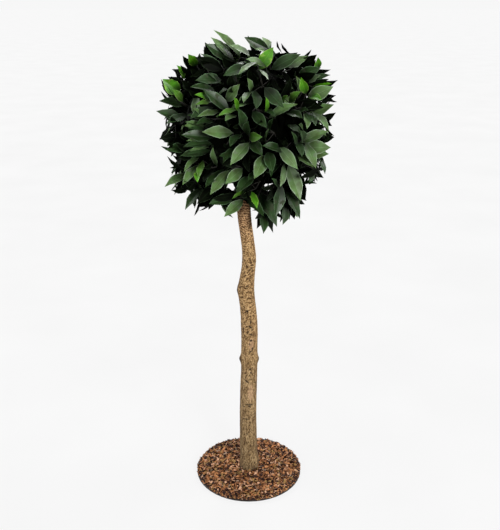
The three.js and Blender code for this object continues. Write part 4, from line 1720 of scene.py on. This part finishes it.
    def tone_of_shoot(self, shoot: Shoot, rng: np.random.Generator) -> Tone:
        """The tone that most leaves of a shoot have, dealt out by chance: in front mostly deep, painted
        shade.

        Args:
            shoot: The shoot.
            rng: The source of the uneven numbers.

        Returns:
            The tone.
        """
        chance = rng.random()
        in_front, elsewhere = self.deep_shares
        if chance < (in_front if shoot.axis[1] < -self.forward else elsewhere):
            return Tone.DEEP
        return Tone.MIDDLE if chance < self.deep_or_middle else Tone.SHEEN

    def young_counts(self, shoots: Sequence[Shoot], rng: np.random.Generator) -> Array:
        """How many young leaves each shoot has: none in front, where each is named, and a few behind.

        Args:
            shoots: The shoots.
            rng: The source of the uneven numbers.

        Returns:
            The number for each shoot.
        """
        tips = np.array([shoot.tip for shoot in shoots])
        counts = np.zeros(len(shoots), int)
        behind = (tips[:, 1] > self.young_behind) & (rng.random(len(shoots)) < self.young_share)
        counts[behind] = rng.integers(*self.young_leaves, int(behind.sum()))
        return counts

    def rosette(self, shoot: Shoot, young: int, rng: np.random.Generator) -> Leaves:
        """The leaves of one shoot, from the young upright ones at its tip to the old spreading ones.

        Leaf i is turned by i golden angles. It leans from the shoot the more the older it is, grows
        from the short to the long size with the square root of its age, hangs more on a level shoot
        than on an upright one, and turns its top a little to the light.

        Args:
            shoot: The shoot.
            young: How many of its youngest leaves are young ones.
            rng: The source of the uneven numbers.

        Returns:
            The leaves.
        """
        count = self.leaves_per_shoot + int(rng.integers(-1, 2))
        order = np.arange(count)
        age = order / (count - 1)
        tilt = mix(*self.leaf_tilt, age**self.tilt_power) + rng.uniform(*self.tilt_off, count)
        bearing = shoot.turn + order * GOLDEN_ANGLE + rng.uniform(*self.bearing_off, count)
        axis = np.broadcast_to(shoot.axis, (count, 3))
        sag = np.clip(self.level_sag - self.upright_sag * shoot.axis[2], 0, self.most_sag)
        sag = sag * rng.uniform(*self.sag_spread, count)
        along = unit(leaning(axis, tilt, bearing) - UP * sag[:, None])
        across = unit(np.cross(axis, along))
        up = np.cross(along, across)
        uneven = rng.normal(0, self.unevenness, (count, 3))
        up = square_to(along, unit(up + UP * self.skyward + axis * self.outward + uneven))
        twig = unit(shoot.tip - shoot.root)
        root = shoot.tip - twig * (order * self.leaf_spacing)[:, None]
        length = mix(*self.leaf_length, np.sqrt(age)) * rng.uniform(*self.length_spread, count)
        tone = np.full(count, self.tone_of_shoot(shoot, rng).number)
        shift = rng.random(count)
        tone[shift < self.stray_deep] = Tone.DEEP.number
        tone[(shift > self.stray_sheen) & (age < self.sheen_age)] = Tone.SHEEN.number
        tone[order < young] = Tone.YOUNG.number
        return Leaves(
            root=root,
            along=along,
            up=up,
            length=length,
            aspect=rng.uniform(*self.leaf_aspect, count),
            bend=mix(*self.leaf_bend, age) + rng.uniform(*self.bend_spread, count),
            **drawn(rng, count, fold=(0.18, 0.5), cup=(0.0, 0.18), twist=(-0.35, 0.35), phase=ANY_PHASE),
            tone=tone,
        )

    def first_meeting(self, ways: Array) -> Array:
        """How far from the eye each way first meets the reach of the leaves, or comes nearest to it.

        Args:
            ways: Unit vectors from the eye.

        Returns:
            The distances, found step by step, in mm.
        """
        distances = np.arange(*self.search)
        offset = self.view.at(ways[:, None], distances[None, :]) - self.rule.centre
        level = np.linalg.norm(offset, axis=-1) / self.rule.reach(unit(offset))
        inside = level < self.inside_level
        return distances[np.where(inside.any(axis=1), np.argmax(inside, axis=1), np.argmin(level, axis=1))]

    def front(self, rng: np.random.Generator) -> Leaves:
        """The leaves that the front shows one by one.

        A leaf's tip lies where the way to its spot meets the reach. Its root lies on the way to its
        own spot, and so much deeper that the leaf has its natural length. The blade is turned round
        the midrib until it looks as wide as the row says, with its top up, or down on a deep one.

        Args:
            rng: The source of the uneven numbers.

        Returns:
            The leaves.
        """
        rows = np.array([row for group in FRONT_LEAVES.values() for row in group], float)
        tone = np.array([tone.number for tone, group in FRONT_LEAVES.items() for _ in group])
        count, sunk = len(rows), rows[:, 5]
        small = np.isin(tone, [Tone.YOUNG.number, Tone.FRESH.number])
        root_ways, tip_ways = self.view.ways(rows[:, 0:2]), self.view.ways(rows[:, 2:4])
        far = self.first_meeting(tip_ways) + sunk
        tip, beside = self.view.at(tip_ways, far), self.view.at(root_ways, far)
        shown = np.linalg.norm(tip - beside, axis=1)
        natural = np.where(small, *self.front_lengths) * rng.uniform(*self.front_spread, count)
        deeper = np.clip(np.sqrt(np.maximum(natural**2 - shown**2, 0)), *self.front_depth)
        root = self.view.at(root_ways, far + deeper)
        chord = np.linalg.norm(tip - root, axis=1)
        way = unit(tip - root)
        facing = square_to(way, -tip_ways)
        side = np.cross(facing, way)
        width = rows[:, 4] * far * self.view.sensor / self.view.lens / max(self.view.picture)
        wider = np.maximum(self.hidden_width * width, self.least_width)
        blade = np.maximum(np.minimum(self.widest * chord, wider), width)
        lean = np.arccos(width / blade)[:, None]
        upward = np.sum(side * (UP + self.turned_out * unit(tip - self.rule.centre)), -1)
        sign = np.where(upward > 0, 1.0, -1.0) * np.where(tone == Tone.DEEP.number, -1.0, 1.0)
        top = facing * np.cos(lean) + side * np.sin(lean) * sign[:, None]
        bend = rng.uniform(*self.front_bend, count)
        half = (bend / 2)[:, None]
        length = chord * (bend / 2) / np.sin(bend / 2)
        return Leaves(
            root=root,
            along=way * np.cos(half) + top * np.sin(half),
            up=top * np.cos(half) - way * np.sin(half),
            length=length,
            aspect=blade / length,
            bend=bend,
            **drawn(rng, count, fold=(0.22, 0.5), cup=(0.0, 0.15), twist=(-0.15, 0.15), phase=ANY_PHASE),
            tone=tone,
        )

    def front_twigs(self, front: Leaves, shoots: Sequence[Shoot]) -> list[Shoot]:
        """A twig to each front leaf from the nearest place along the shoots.

        Args:
            front: The leaves.
            shoots: The shoots.

        Returns:
            The twigs.
        """
        share = np.array(self.twig_shares)[:, None]
        along = np.concatenate([mix(shoot.root, shoot.tip, share) for shoot in shoots])
        made = []
        for root, way in zip(front.root, front.along):
            start = along[int(np.argmin(np.linalg.norm(along - root, axis=1)))]
            made.append(Shoot(start, root + way * self.twig_overlap, way, 0.0, self.front_radii))
        return made

    def hides(self, leaves: Leaves, front: Leaves) -> Array:
        """Which leaves hide a front leaf from the eye.

        Args:
            leaves: The leaves to ask about.
            front: The front leaves.

        Returns:
            A mark for each leaf.
        """
        points = self.shape.points(leaves)
        seen, near = self.view.spots(points), self.view.distances(points)
        front_points = self.shape.points(front)
        found = np.zeros(len(points), bool)
        for start, end, width in zip(front_points[:, 0], front_points[:, -1], front.length * front.aspect):
            spot = self.view.spots(start)
            line = self.view.spots(end) - spot
            share = np.clip((seen - spot) @ line / (line @ line), self.hidden_from, 1)
            gap = np.linalg.norm(seen - (spot + share[..., None] * line), axis=-1)
            depth = mix(self.view.distances(start), self.view.distances(end), share)
            over = (gap < self.hidden_half * width) & (near < depth + self.hidden_slack)
            found |= over.any(axis=1)
        return found

    def stands_out(self, leaves: Leaves, front: Leaves) -> Array:
        """Which leaves stand out past the front leaves' tips, or cross a spot that is open in the photo.

        Args:
            leaves: The leaves to ask about.
            front: The front leaves, whose tips give the edge in each direction from the head's middle.

        Returns:
            A mark for each leaf.
        """
        seen = self.view.spots(self.shape.points(leaves))
        middle = self.view.spots(self.rule.centre)
        tips = self.view.spots(self.shape.points(front)[:, -1]) - middle
        sectors = np.linspace(-np.pi, np.pi, self.outline_sectors + 1)
        angle = np.arctan2(tips[:, 1], tips[:, 0])
        radius = np.linalg.norm(tips, axis=1)
        which = np.clip(np.searchsorted(sectors, angle) - 1, 0, self.outline_sectors - 1)
        most = np.array([radius[which == i].max(initial=0) for i in range(self.outline_sectors)])
        held = np.flatnonzero(most > self.outline_least)
        centres = (sectors[:-1] + sectors[1:]) / 2
        offset = seen - middle
        turn = np.arctan2(offset[..., 1], offset[..., 0])
        edge = np.interp(turn, centres[held], most[held], period=2 * np.pi)
        found = (np.linalg.norm(offset, axis=-1) > edge + self.outline_slack).any(axis=1)
        gaps = np.array(OPEN_SPOTS)
        spots, beside = (self.view.on_plane(gaps[:, :2] + np.array(shift)) for shift in ((0, 0), (1, 0)))
        sizes = gaps[:, 2] * np.linalg.norm(beside - spots, axis=1)
        for spot, size in zip(spots, sizes):
            found |= (np.linalg.norm(seen - spot, axis=-1) < size).any(axis=1)
        return found

    def cleared(self, leaves: Leaves, front: Leaves) -> tuple[Leaves, Leaves]:
        """The leaves of the rule, changed so that they don't spoil the front.

        A leaf that hides a front leaf goes back along the line of sight, a step at a time, and is painted
        as shade: deep green or, by the phase of its margin's wave, nearly black. One that still hides a
        front leaf then, or that stands out, is left out.

        Args:
            leaves: The leaves of the rule.
            front: The front leaves.

        Returns:
            The leaves that stay, and those of them that went back.
        """
        moved = np.zeros(len(leaves.length), bool)
        inner = leaves.tone == Tone.INNER.number
        for _ in range(self.back_steps):
            hiding = self.hides(leaves, front)
            moved |= hiding
            sight = unit(leaves.root - np.array(self.view.eye))
            leaves.root = leaves.root + sight * np.where(hiding, self.back_step, 0.0)[:, None]
        # Painted shade: leaves that went back turn deep green or, by their phase, nearly black.
        leaves.tone[moved & ~inner] = Tone.DEEP.number
        leaves.tone[moved & (leaves.phase < self.shaded_share * 2 * np.pi)] = Tone.INNER.number
        stay = ~(self.hides(leaves, front) | self.stands_out(leaves, front))
        log.info("left out %d leaves of %d, moved %d", (~stay).sum(), len(stay), (moved & stay).sum())
        return leaves.chosen(stay), leaves.chosen(stay & moved & ~inner)

    def inner(self, rng: np.random.Generator) -> Leaves:
        """Nearly black leaves across the inside of the head: painted shade, where the eye finds no light.

        They lie at golden angles over a shell at shares of the reach, each across the radius, and
        leave the space round the stem open.

        Args:
            rng: The source of the uneven numbers.

        Returns:
            The leaves.
        """
        order = np.arange(self.inner_leaves)
        level = 1 - 2 * (order + 0.5) / self.inner_leaves
        turn = np.radians(order * GOLDEN_ANGLE)
        ring = np.sqrt(1 - level**2)
        way = np.stack([ring * np.cos(turn), ring * np.sin(turn), level], -1)
        share = rng.uniform(*self.inner_shell, self.inner_leaves)
        count = self.inner_leaves
        along = leaning(way, rng.uniform(*self.inner_tilt, count), rng.uniform(0, 360, count))
        up = square_to(along, way)
        root = self.rule.from_centre(way, self.rule.reach(way) * share) - along * self.half_leaf
        across = np.linalg.norm((root + along * self.half_leaf - self.rule.centre)[:, :2], axis=1)
        low = root[:, 2] < self.rule.centre[2] - self.inner_below
        sizes = drawn(
            rng,
            count,
            length=(70, 88),
            aspect=(0.38, 0.46),
            bend=(0.1, 0.5),
            fold=(0.1, 0.3),
            cup=(0.1, 0.1),
            twist=(-0.3, 0.3),
            phase=ANY_PHASE,
        )
        # Painted shade: every inner leaf takes the nearly black tone.
        made = Leaves(root=root, along=along, up=up, **sizes, tone=np.full(count, Tone.INNER.number))
        return made.chosen(~((across < self.well_radius) & low))

    def cheeks(self, rng: np.random.Generator) -> Leaves:
        """Leaves on the head's two sides whose blades face sideways, so that the front sees them edge on.

        They lie evenly between two turns forward from the side and between two levels, and each
        points outward as the side shows it, and up to 50 degrees to either hand. Their margins' waves
        start late in the turn, so that none of them is painted nearly black, as shade, where it goes back.

        Args:
            rng: The source of the uneven numbers.

        Returns:
            The leaves.
        """
        count = self.cheek_leaves
        order = np.arange(count)
        side = np.where(order % 2 == 0, 1.0, -1.0)
        forward = np.radians(mix(*self.cheek_turn, order * GOLDEN_ANGLE / 360 % 1))
        level = mix(*self.cheek_level, (order + 0.5) / count)
        ring = np.sqrt(1 - level**2)
        way = np.stack([side * ring * np.cos(forward), -ring * np.sin(forward), level], -1)
        face = np.stack([side, 0 * side, self.cheek_lift + 0 * side], -1)
        face = unit(face + rng.normal(0, self.cheek_unevenness, (count, 3)))
        turn = np.arctan2(way[:, 2], way[:, 1]) + np.radians(rng.uniform(*self.cheek_swing, count))
        along = np.stack([0 * turn, np.cos(turn), np.sin(turn)], -1)
        along = square_to(face, along)
        share = rng.uniform(*self.cheek_shell, count)
        root = self.rule.from_centre(way, self.rule.reach(way) * share) - along * self.half_leaf
        sizes = drawn(
            rng,
            count,
            length=(62, 84),
            aspect=(0.34, 0.42),
            bend=(0.1, 0.5),
            fold=(0.2, 0.45),
            cup=(0.0, 0.15),
            twist=(-0.2, 0.2),
            phase=(1.2 * np.pi, 2 * np.pi),
        )
        tones, shares = zip(*((tone.number, share) for tone, share in self.cheek_tones))
        return Leaves(root=root, along=along, up=face, **sizes, tone=rng.choice(tones, count, p=shares))

    def build_wood(self, masses: Sequence[Mass], shoots: Sequence[Shoot]) -> list[bpy.types.Object]:
        """The boughs, and the stems and twigs of all masses.

        Args:
            masses: The masses.
            shoots: All shoots.

        Returns:
            The pieces.
        """
        count = self.bough_points
        rng = np.random.default_rng(self.seed + 1)
        lines = np.array([self.rule.bough_line(mass, self.stem, count) for mass in masses])
        share = np.linspace(0, 1, count)[None, :]
        roots = np.array([self.rule.leader_radius] + [self.rule.bough_radii[0]] * (len(masses) - 1))
        radii = mix(roots[:, None], self.rule.bough_radii[1], share)
        radii = radii * (1 + self.bough_unevenness * rng.standard_normal(radii.shape))
        points, faces = tubes(lines, radii, self.bough_sides)
        boughs = mesh_piece("bough_bark", points * MM, faces, [BOUGH_BARK.material()])
        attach(boughs, "root")
        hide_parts(*[f"bough_{mass.name}" for mass in masses])
        starts = [self.rule.from_centre(mass.direction, self.rule.bough_end) for mass in masses]
        ends = [self.rule.from_centre(mass.direction, self.rule.twigs_from[1]) for mass in masses]
        roots = np.array(starts + [shoot.root for shoot in shoots])
        tips = np.array(ends + [shoot.tip for shoot in shoots])
        bow = np.array([[0, 0, 0]] * len(masses) + [shoot.axis * self.twig_bow for shoot in shoots])
        share = np.linspace(0, 1, self.twig_points)[None, :, None]
        length = np.linalg.norm(tips - roots, axis=1)[:, None, None]
        lines = mix(roots[:, None], tips[:, None], share) - bow[:, None] * length * share * (1 - share)
        sizes = np.array([self.mass_stem_radii] * len(masses) + [shoot.radii for shoot in shoots])
        points, faces = tubes(lines, mix(sizes[:, :1], sizes[:, 1:], share[..., 0]), self.twig_sides)
        twigs = mesh_piece("twigs", points * MM, faces, [TWIG_BARK.material()])
        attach(twigs, "root")
        return [boughs, twigs]

    def build_leaves(self, leaves: Leaves, masses: Sequence[Mass]) -> list[bpy.types.Object]:
        """Each tone's leaves as one joined piece.

        Args:
            leaves: All leaves.
            masses: The masses, whose solids they stand for.

        Returns:
            The pieces.
        """
        one = self.shape.faces()
        rim = self.shape.rim()
        made = []
        for tone in Tone:
            which = leaves.chosen(leaves.tone == tone.number)
            if not len(which.length):
                continue
            points = self.shape.points(which)
            faces = one.repeated(len(points), points.shape[1])
            name = f"leaves_{tone.value.name}"
            rims = np.tile(rim, len(points))
            piece = mesh_piece(name, points.reshape(-1, 3) * MM, faces, tone.value.materials(), rim=rims)
            add_values(piece, "margin", np.tile(self.shape.margin(), len(points)))
            add_values(piece, "along", np.tile(self.shape.along(), len(points)))
            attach(piece, "root")
            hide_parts(*[f"foliage_{mass.name}" for mass in masses])
            made.append(piece)
        return made

    def build(self) -> list[bpy.types.Object]:
        """The whole head.

        Returns:
            Its pieces.
        """
        rng = np.random.default_rng(self.seed)
        masses = self.rule.masses()
        sprays = [spray for mass in masses for spray in self.rule.sprays_of(mass, masses)]
        shoots = sprays + self.side_shoots(sprays, rng)
        young = self.young_counts(shoots, rng)
        groups = [self.rosette(shoot, int(many), rng) for shoot, many in zip(shoots, young)]
        grown = Leaves.together([*groups, self.inner(rng)])
        front = self.front(np.random.default_rng(self.seed + 2))
        kept, moved = self.cleared(grown, front)
        cheeks, _ = self.cleared(self.cheeks(np.random.default_rng(self.seed + 3)), front)
        leaves = Leaves.together([kept, cheeks, front])
        shoots = [*shoots, *self.front_twigs(Leaves.together([front, moved, cheeks]), shoots)]
        log.info("sprays %d, shoots %d, leaves %d", len(sprays), len(shoots), len(leaves.length))
        return [*self.build_wood(masses, shoots), *self.build_leaves(leaves, masses)]


# The plate and its chips


@dataclass
class ChipBed:
    """The bark chips on the plate: a near-black mound of fines, which is also painted shade between the
    chips, with loose chips lying all over it.

    Sizes are in mm.
    """

    seed: int = 23
    plate_top: float = 6.0
    radius: float = 163.2
    # The mound: its depth, its rings and their sides, where the first ring lies as a share of the
    # radius, its noise's reach in rings and sides and its height, and its underside above the plate.
    middle_depth: float = 6.5
    rim_depth: float = 3.2
    rings: int = 34
    sides: int = 120
    first_ring: float = 0.02
    rough_reach: Pair = (1.0, 2.0)
    roughness: float = 0.7
    lift_off: float = 0.05
    # The layers of chips: how many in each, how far from the rim, how far each layer is turned from
    # the one below in degrees, how far off their places the chips are, how high the lowest layer and
    # each next one lie in the mound, and how uneven that is.
    layers: tuple[int, ...] = (1150, 760, 380)
    layer_inset: float = 1.5
    layer_turn: float = 71.0
    scatter: float = 1.6
    layer_height: float = 0.8
    layer_step: float = 1.7
    uneven_height: Pair = (-0.6, 0.6)
    # The chips at the rim: how many, and how far they lie past it and above the plate.
    rim_chips: int = 420
    rim_past: float = 1.2
    rim_heights: Pair = (-0.4, 5.0)
    # The chips keep clear of the stem's middle and of the rim, and end so far above the floor.
    stem_gap: float = 27.0
    rim_clear: float = 5.0
    lowest: float = 1.5
    # Half the length, width and thickness of a chip, how small some are, and how small those near
    # the rim are.
    half_sizes: tuple[Pair, ...] = ((3.2, 7.2), (2.0, 4.2), (0.7, 1.7))
    smallest: float = 0.62
    at_rim: float = 0.6
    # How far its corners are off, as shares, how far it is skewed, and how steeply it is tipped.
    ragged: Pair = (-0.38, 0.2)
    skew: float = 0.25
    tipped: float = 0.42

    def depth(self, distance: Array) -> Array:
        """The fines' depth: mix(middle, rim) with the square of the distance from the middle."""
        return mix(self.middle_depth, self.rim_depth, (distance / self.radius) ** 2)

    def build_fines(self) -> bpy.types.Object:
        """The mound of fines: rings of points with an uneven top, closed below.

        Returns:
            The piece.
        """
        rng = np.random.default_rng(self.seed)
        rings, sides = self.rings, self.sides
        distance = np.linspace(self.first_ring, 1, rings)[:, None] * self.radius
        turn = np.arange(sides)[None, :] * 2 * np.pi / sides
        rough = smooth_noise(rng, (rings, sides), self.rough_reach) * self.roughness
        top = self.plate_top + self.depth(distance) + rough
        edge = np.broadcast_to(distance, (rings, sides))
        upper = np.stack([edge * np.cos(turn), edge * np.sin(turn), top + 0 * turn], -1)
        underside = self.plate_top + self.lift_off
        lower = upper[-1:] * np.array([1, 1, 0]) + UP * underside
        grid = np.concatenate([upper, lower]).reshape(-1, 3)
        ends = np.array([[0, 0, float(top[0].mean())], [0, 0, underside]])
        shell = Faces.grid(rings + 1, sides, closed=True)
        shell.corners = shell.corners.reshape(-1, 4)[:, ::-1].ravel()
        first, low = (rings + 1) * sides, rings * sides
        caps = [[first, i, (i + 1) % sides] for i in range(sides)]
        caps += [[first + 1, low + (i + 1) % sides, low + i] for i in range(sides)]
        faces = shell.joined(Faces.of(caps, [0] * len(caps)))
        # Near-black: the bark's fines, and painted shade where they show between the chips.
        material = pine_bark("fines", "#180700", "#341604").material()
        piece = mesh_piece("bark_fines_and_painted_shade", np.vstack([grid, ends]) * MM, faces, [material])
        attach(piece, "root")
        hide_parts("bark_chip_bed")
        return piece

    def build_chips(self) -> bpy.types.Object:
        """The loose chips: split blocks with uneven corners, each turned and tipped by chance.

        Chip i of n in a layer lies at the radius times the square root of (i + 1/2) / n, at i
        golden angles, and a little off.

        Returns:
            The piece.
        """
        rng = np.random.default_rng(self.seed + 1)
        places, heights = [], []
        for number, count in enumerate(self.layers):
            order = np.arange(count)
            distance = (self.radius - self.layer_inset) * np.sqrt((order + 0.5) / count)
            turn = np.radians(order * GOLDEN_ANGLE + number * self.layer_turn)
            spot = np.stack([distance * np.cos(turn), distance * np.sin(turn)], -1)
            places.append(spot + rng.normal(0, self.scatter, spot.shape))
            heights.append(np.full(count, self.plate_top + self.layer_height + number * self.layer_step))
        spot, lift = np.concatenate(places), np.concatenate(heights)
        distance = np.linalg.norm(spot, axis=1)
        keep = (distance > self.stem_gap) & (distance < self.radius - self.rim_clear / 2)
        spot, lift, distance = spot[keep], lift[keep], distance[keep]
        lift = lift + self.depth(distance) + rng.uniform(*self.uneven_height, len(lift))
        turn = rng.uniform(0, 2 * np.pi, self.rim_chips)
        out = (self.radius + rng.uniform(-self.rim_clear / 2, self.rim_past, self.rim_chips))[:, None]
        spot = np.concatenate([spot, np.stack([np.cos(turn), np.sin(turn)], -1) * out])
        lift = np.concatenate([lift, self.plate_top + rng.uniform(*self.rim_heights, self.rim_chips)])
        count = len(spot)
        inward = np.linalg.norm(spot, axis=1) < self.radius - 2 * self.rim_clear
        size = np.stack([rng.uniform(*half, count) for half in self.half_sizes], -1)
        smaller = mix(1.0, self.smallest, rng.random(count) ** 2)
        size *= smaller[:, None] * np.where(inward, 1.0, self.at_rim)[:, None]
        corners = np.array([[x, y, z] for z in (-1, 1) for y in (-1, 1) for x in (-1, 1)], float)
        ragged = corners[None] * (1 + rng.uniform(*self.ragged, (count, 8, 3)))
        ragged[:, :, 0] += self.skew * ragged[:, :, 1] * rng.uniform(-1, 1, (count, 1))
        block = ragged * size[:, None]
        tip = rng.normal(0, self.tipped, (count, 2))
        block[:, :, 2] += block[:, :, 0] * tip[:, :1] + block[:, :, 1] * tip[:, 1:]
        yaw = rng.uniform(0, 2 * np.pi, count)[:, None]
        x = block[:, :, 0] * np.cos(yaw) - block[:, :, 1] * np.sin(yaw)
        y = block[:, :, 0] * np.sin(yaw) + block[:, :, 1] * np.cos(yaw)
        lift = np.maximum(lift, self.lowest - block[:, :, 2].min(axis=1))
        points = np.stack([x + spot[:, :1], y + spot[:, 1:], block[:, :, 2] + lift[:, None]], -1)
        sides = [[0, 2, 3, 1], [4, 5, 7, 6], [0, 1, 5, 4], [2, 6, 7, 3], [0, 4, 6, 2], [1, 3, 7, 5]]
        faces = Faces.of(sides, [0] * 6).repeated(count, 8)
        shares = np.cumsum([lot.value[1] for lot in ChipLot])
        lots = np.searchsorted(shares / shares[-1], rng.random(count))
        faces.slots = np.repeat(lots, 6)
        materials = [lot.value[0].material() for lot in ChipLot]
        piece = mesh_piece("bark_chips", points.reshape(-1, 3) * MM, faces, materials, smooth=False)
        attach(piece, "root")
        return piece

    def build(self) -> list[bpy.types.Object]:
        """The fines and the chips."""
        return [self.build_fines(), self.build_chips()]


def paint_plate() -> bpy.types.Object:
    """Gives the solid plate its paint.

    Returns:
        The plate.
    """
    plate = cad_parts["base_plate"]
    plate.data.materials.clear()
    plate.data.materials.append(PaintedSteel().material())
    return plate


# The studio


@dataclass
class Studio:
    """A pale floor, soft light from large lamps and a camera at the photograph's angle.

    Attributes:
        view: Where the camera stands.
        clip: The nearest and the farthest that the camera sees, in metres.
        floor_size: The floor's side, in metres.
        floor_cloud: The size of an uneven place in the floor's glow, in mm.
        floor_glow: The glow's colours.
        floor_strength: How strongly it glows on the tree, and for the camera.
        floor_colour: What the floor throws back of the lamps' light.
        sky: The sky's colour.
        sky_strength: How strongly it lights the tree.
        lamps: Each lamp's name, azimuth, elevation and width in degrees, and its strength.
        lamp_height: Where the lamps hang, in metres, which doesn't change their light.
    """

    view: Viewpoint = field(default_factory=Viewpoint)
    clip: Pair = (0.05, 200.0)
    floor_size: float = 160.0
    floor_cloud: float = 500.0
    floor_glow: Stops = ((0.3, "#f5f5f5"), (0.7, "#f8f8f8"))
    floor_strength: Pair = (0.12, 0.903)
    floor_colour: str = "#4e4e4e"
    sky: str = "#f7f7f7"
    sky_strength: float = 0.13
    lamps: tuple[tuple[str, float, float, float, float], ...] = (
        ("key_lamp", 24.0, 13.0, 16.0, 3.15),
        ("fill_lamp", -38.0, 5.0, 40.0, 0.9),
        ("top_lamp", 180.0, 72.0, 60.0, 0.55),
        ("back_lamp", 172.0, 30.0, 40.0, 2.5),
        ("left_lamp", -105.0, 22.0, 40.0, 2.0),
        ("right_lamp", 105.0, 22.0, 40.0, 1.2),
    )
    lamp_height: float = 3.0

    def build_camera(self) -> None:
        """The camera, level from side to side and pitched down."""
        data = bpy.data.cameras.new("camera")
        data.lens, data.sensor_width = self.view.lens, self.view.sensor
        data.clip_start, data.clip_end = self.clip
        camera = bpy.data.objects.new("camera", data)
        camera.location = [value * MM for value in self.view.eye]
        camera.rotation_euler = (math.radians(90 - self.view.pitch), 0.0, 0.0)
        bpy.context.scene.collection.objects.link(camera)
        bpy.context.scene.camera = camera

    def build_floor(self) -> bpy.types.Object:
        """The pale floor: an opal acrylic light table, lit from below, so that shadows on it are faint.

        Most of its glow is for the camera alone, so that the tree isn't lit up from below.

        Returns:
            The floor.
        """
        half = self.floor_size / 2
        corners = np.array([[-half, -half, 0], [half, -half, 0], [half, half, 0], [-half, half, 0]])
        recipe = Recipe(bpy.data.materials.new("opal_acrylic_light_table"))
        clouds = recipe.add("ShaderNodeTexNoise", Vector=recipe.places, Scale=repeats(self.floor_cloud))
        glow = recipe.add("ShaderNodeValToRGB", stops=self.floor_glow, Fac=clouds)
        seen = recipe.add("ShaderNodeLightPath").outputs["Is Camera Ray"]
        lit, shown = self.floor_strength
        strength = recipe.add("ShaderNodeMapRange", Value=seen, To_Min=lit, To_Max=shown)
        material = recipe.finished(
            Base_Color=linear(self.floor_colour),
            Roughness=0.95,
            Specular_IOR_Level=0.0,
            Emission_Color=glow,
            Emission_Strength=strength,
        )
        floor = mesh_piece("floor", corners, Faces.of([[0, 1, 2, 3]], [0]), [material], smooth=False)
        floor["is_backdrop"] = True
        return floor

    def build_lamp(self, name: str, azimuth: float, elevation: float, width: float, strength: float) -> None:
        """A far, wide lamp, so that the floor is lit evenly.

        Args:
            name: Its name.
            azimuth: Where its light comes from, in degrees from the front towards the right.
            elevation: The same, in degrees above the horizon.
            width: The angle that it spans, in degrees.
            strength: In watts for each square metre.
        """
        data = bpy.data.lights.new(name, "SUN")
        data.angle, data.energy = math.radians(width), strength
        lamp = bpy.data.objects.new(name, data)
        lamp.location = (0.0, 0.0, self.lamp_height)
        lamp.rotation_euler = (math.radians(90 - elevation), 0.0, math.radians(azimuth))
        bpy.context.scene.collection.objects.link(lamp)

    def build_world(self) -> None:
        """A pale sky: dim where it lights the tree, and as bright as the floor where it shows."""
        recipe = Recipe(bpy.data.worlds.new("studio"))
        seen = recipe.add("ShaderNodeLightPath").outputs["Is Camera Ray"]
        strength = recipe.add("ShaderNodeMapRange", Value=seen, To_Min=self.sky_strength, To_Max=1.0)
        background = recipe.add("ShaderNodeBackground", Color=linear(self.sky), Strength=strength)
        recipe.add("ShaderNodeOutputWorld", Surface=background)
        bpy.context.scene.world = recipe.owner

    def build(self) -> None:
        """The whole studio."""
        self.build_world()
        self.build_floor()
        for lamp in self.lamps:
            self.build_lamp(*lamp)
        self.build_camera()
        bpy.context.scene.view_settings.view_transform = "Standard"


def keep_sizes() -> None:
    """Logs the box of the solids and the box of the dressed tree, in metres."""
    boxes = {"cad": CAD_BOX, "visual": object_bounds()}
    plain = {name: [[float(v) for v in corner] for corner in box] for name, box in boxes.items()}
    for name, (low, high) in plain.items():
        log.info("%s box %s to %s", name, np.round(low, 4), np.round(high, 4))


def main() -> None:
    """Builds the tree from the floor up, then the studio round it."""
    stem = Stem()
    builders: list[tuple[str, Callable[[], object]]] = [
        ("plate", paint_plate),
        ("chips", ChipBed().build),
        ("stem", stem.build),
        ("head", Head(stem).build),
        ("studio", Studio().build),
    ]
    for name, build in builders:
        build()
        log.info("built the %s", name)
    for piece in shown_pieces():
        piece.data.calc_loop_triangles()
        log.info("%s: %d triangles", piece.name, len(piece.data.loop_triangles))
    keep_sizes()


if __name__ == "__main__":
    main()
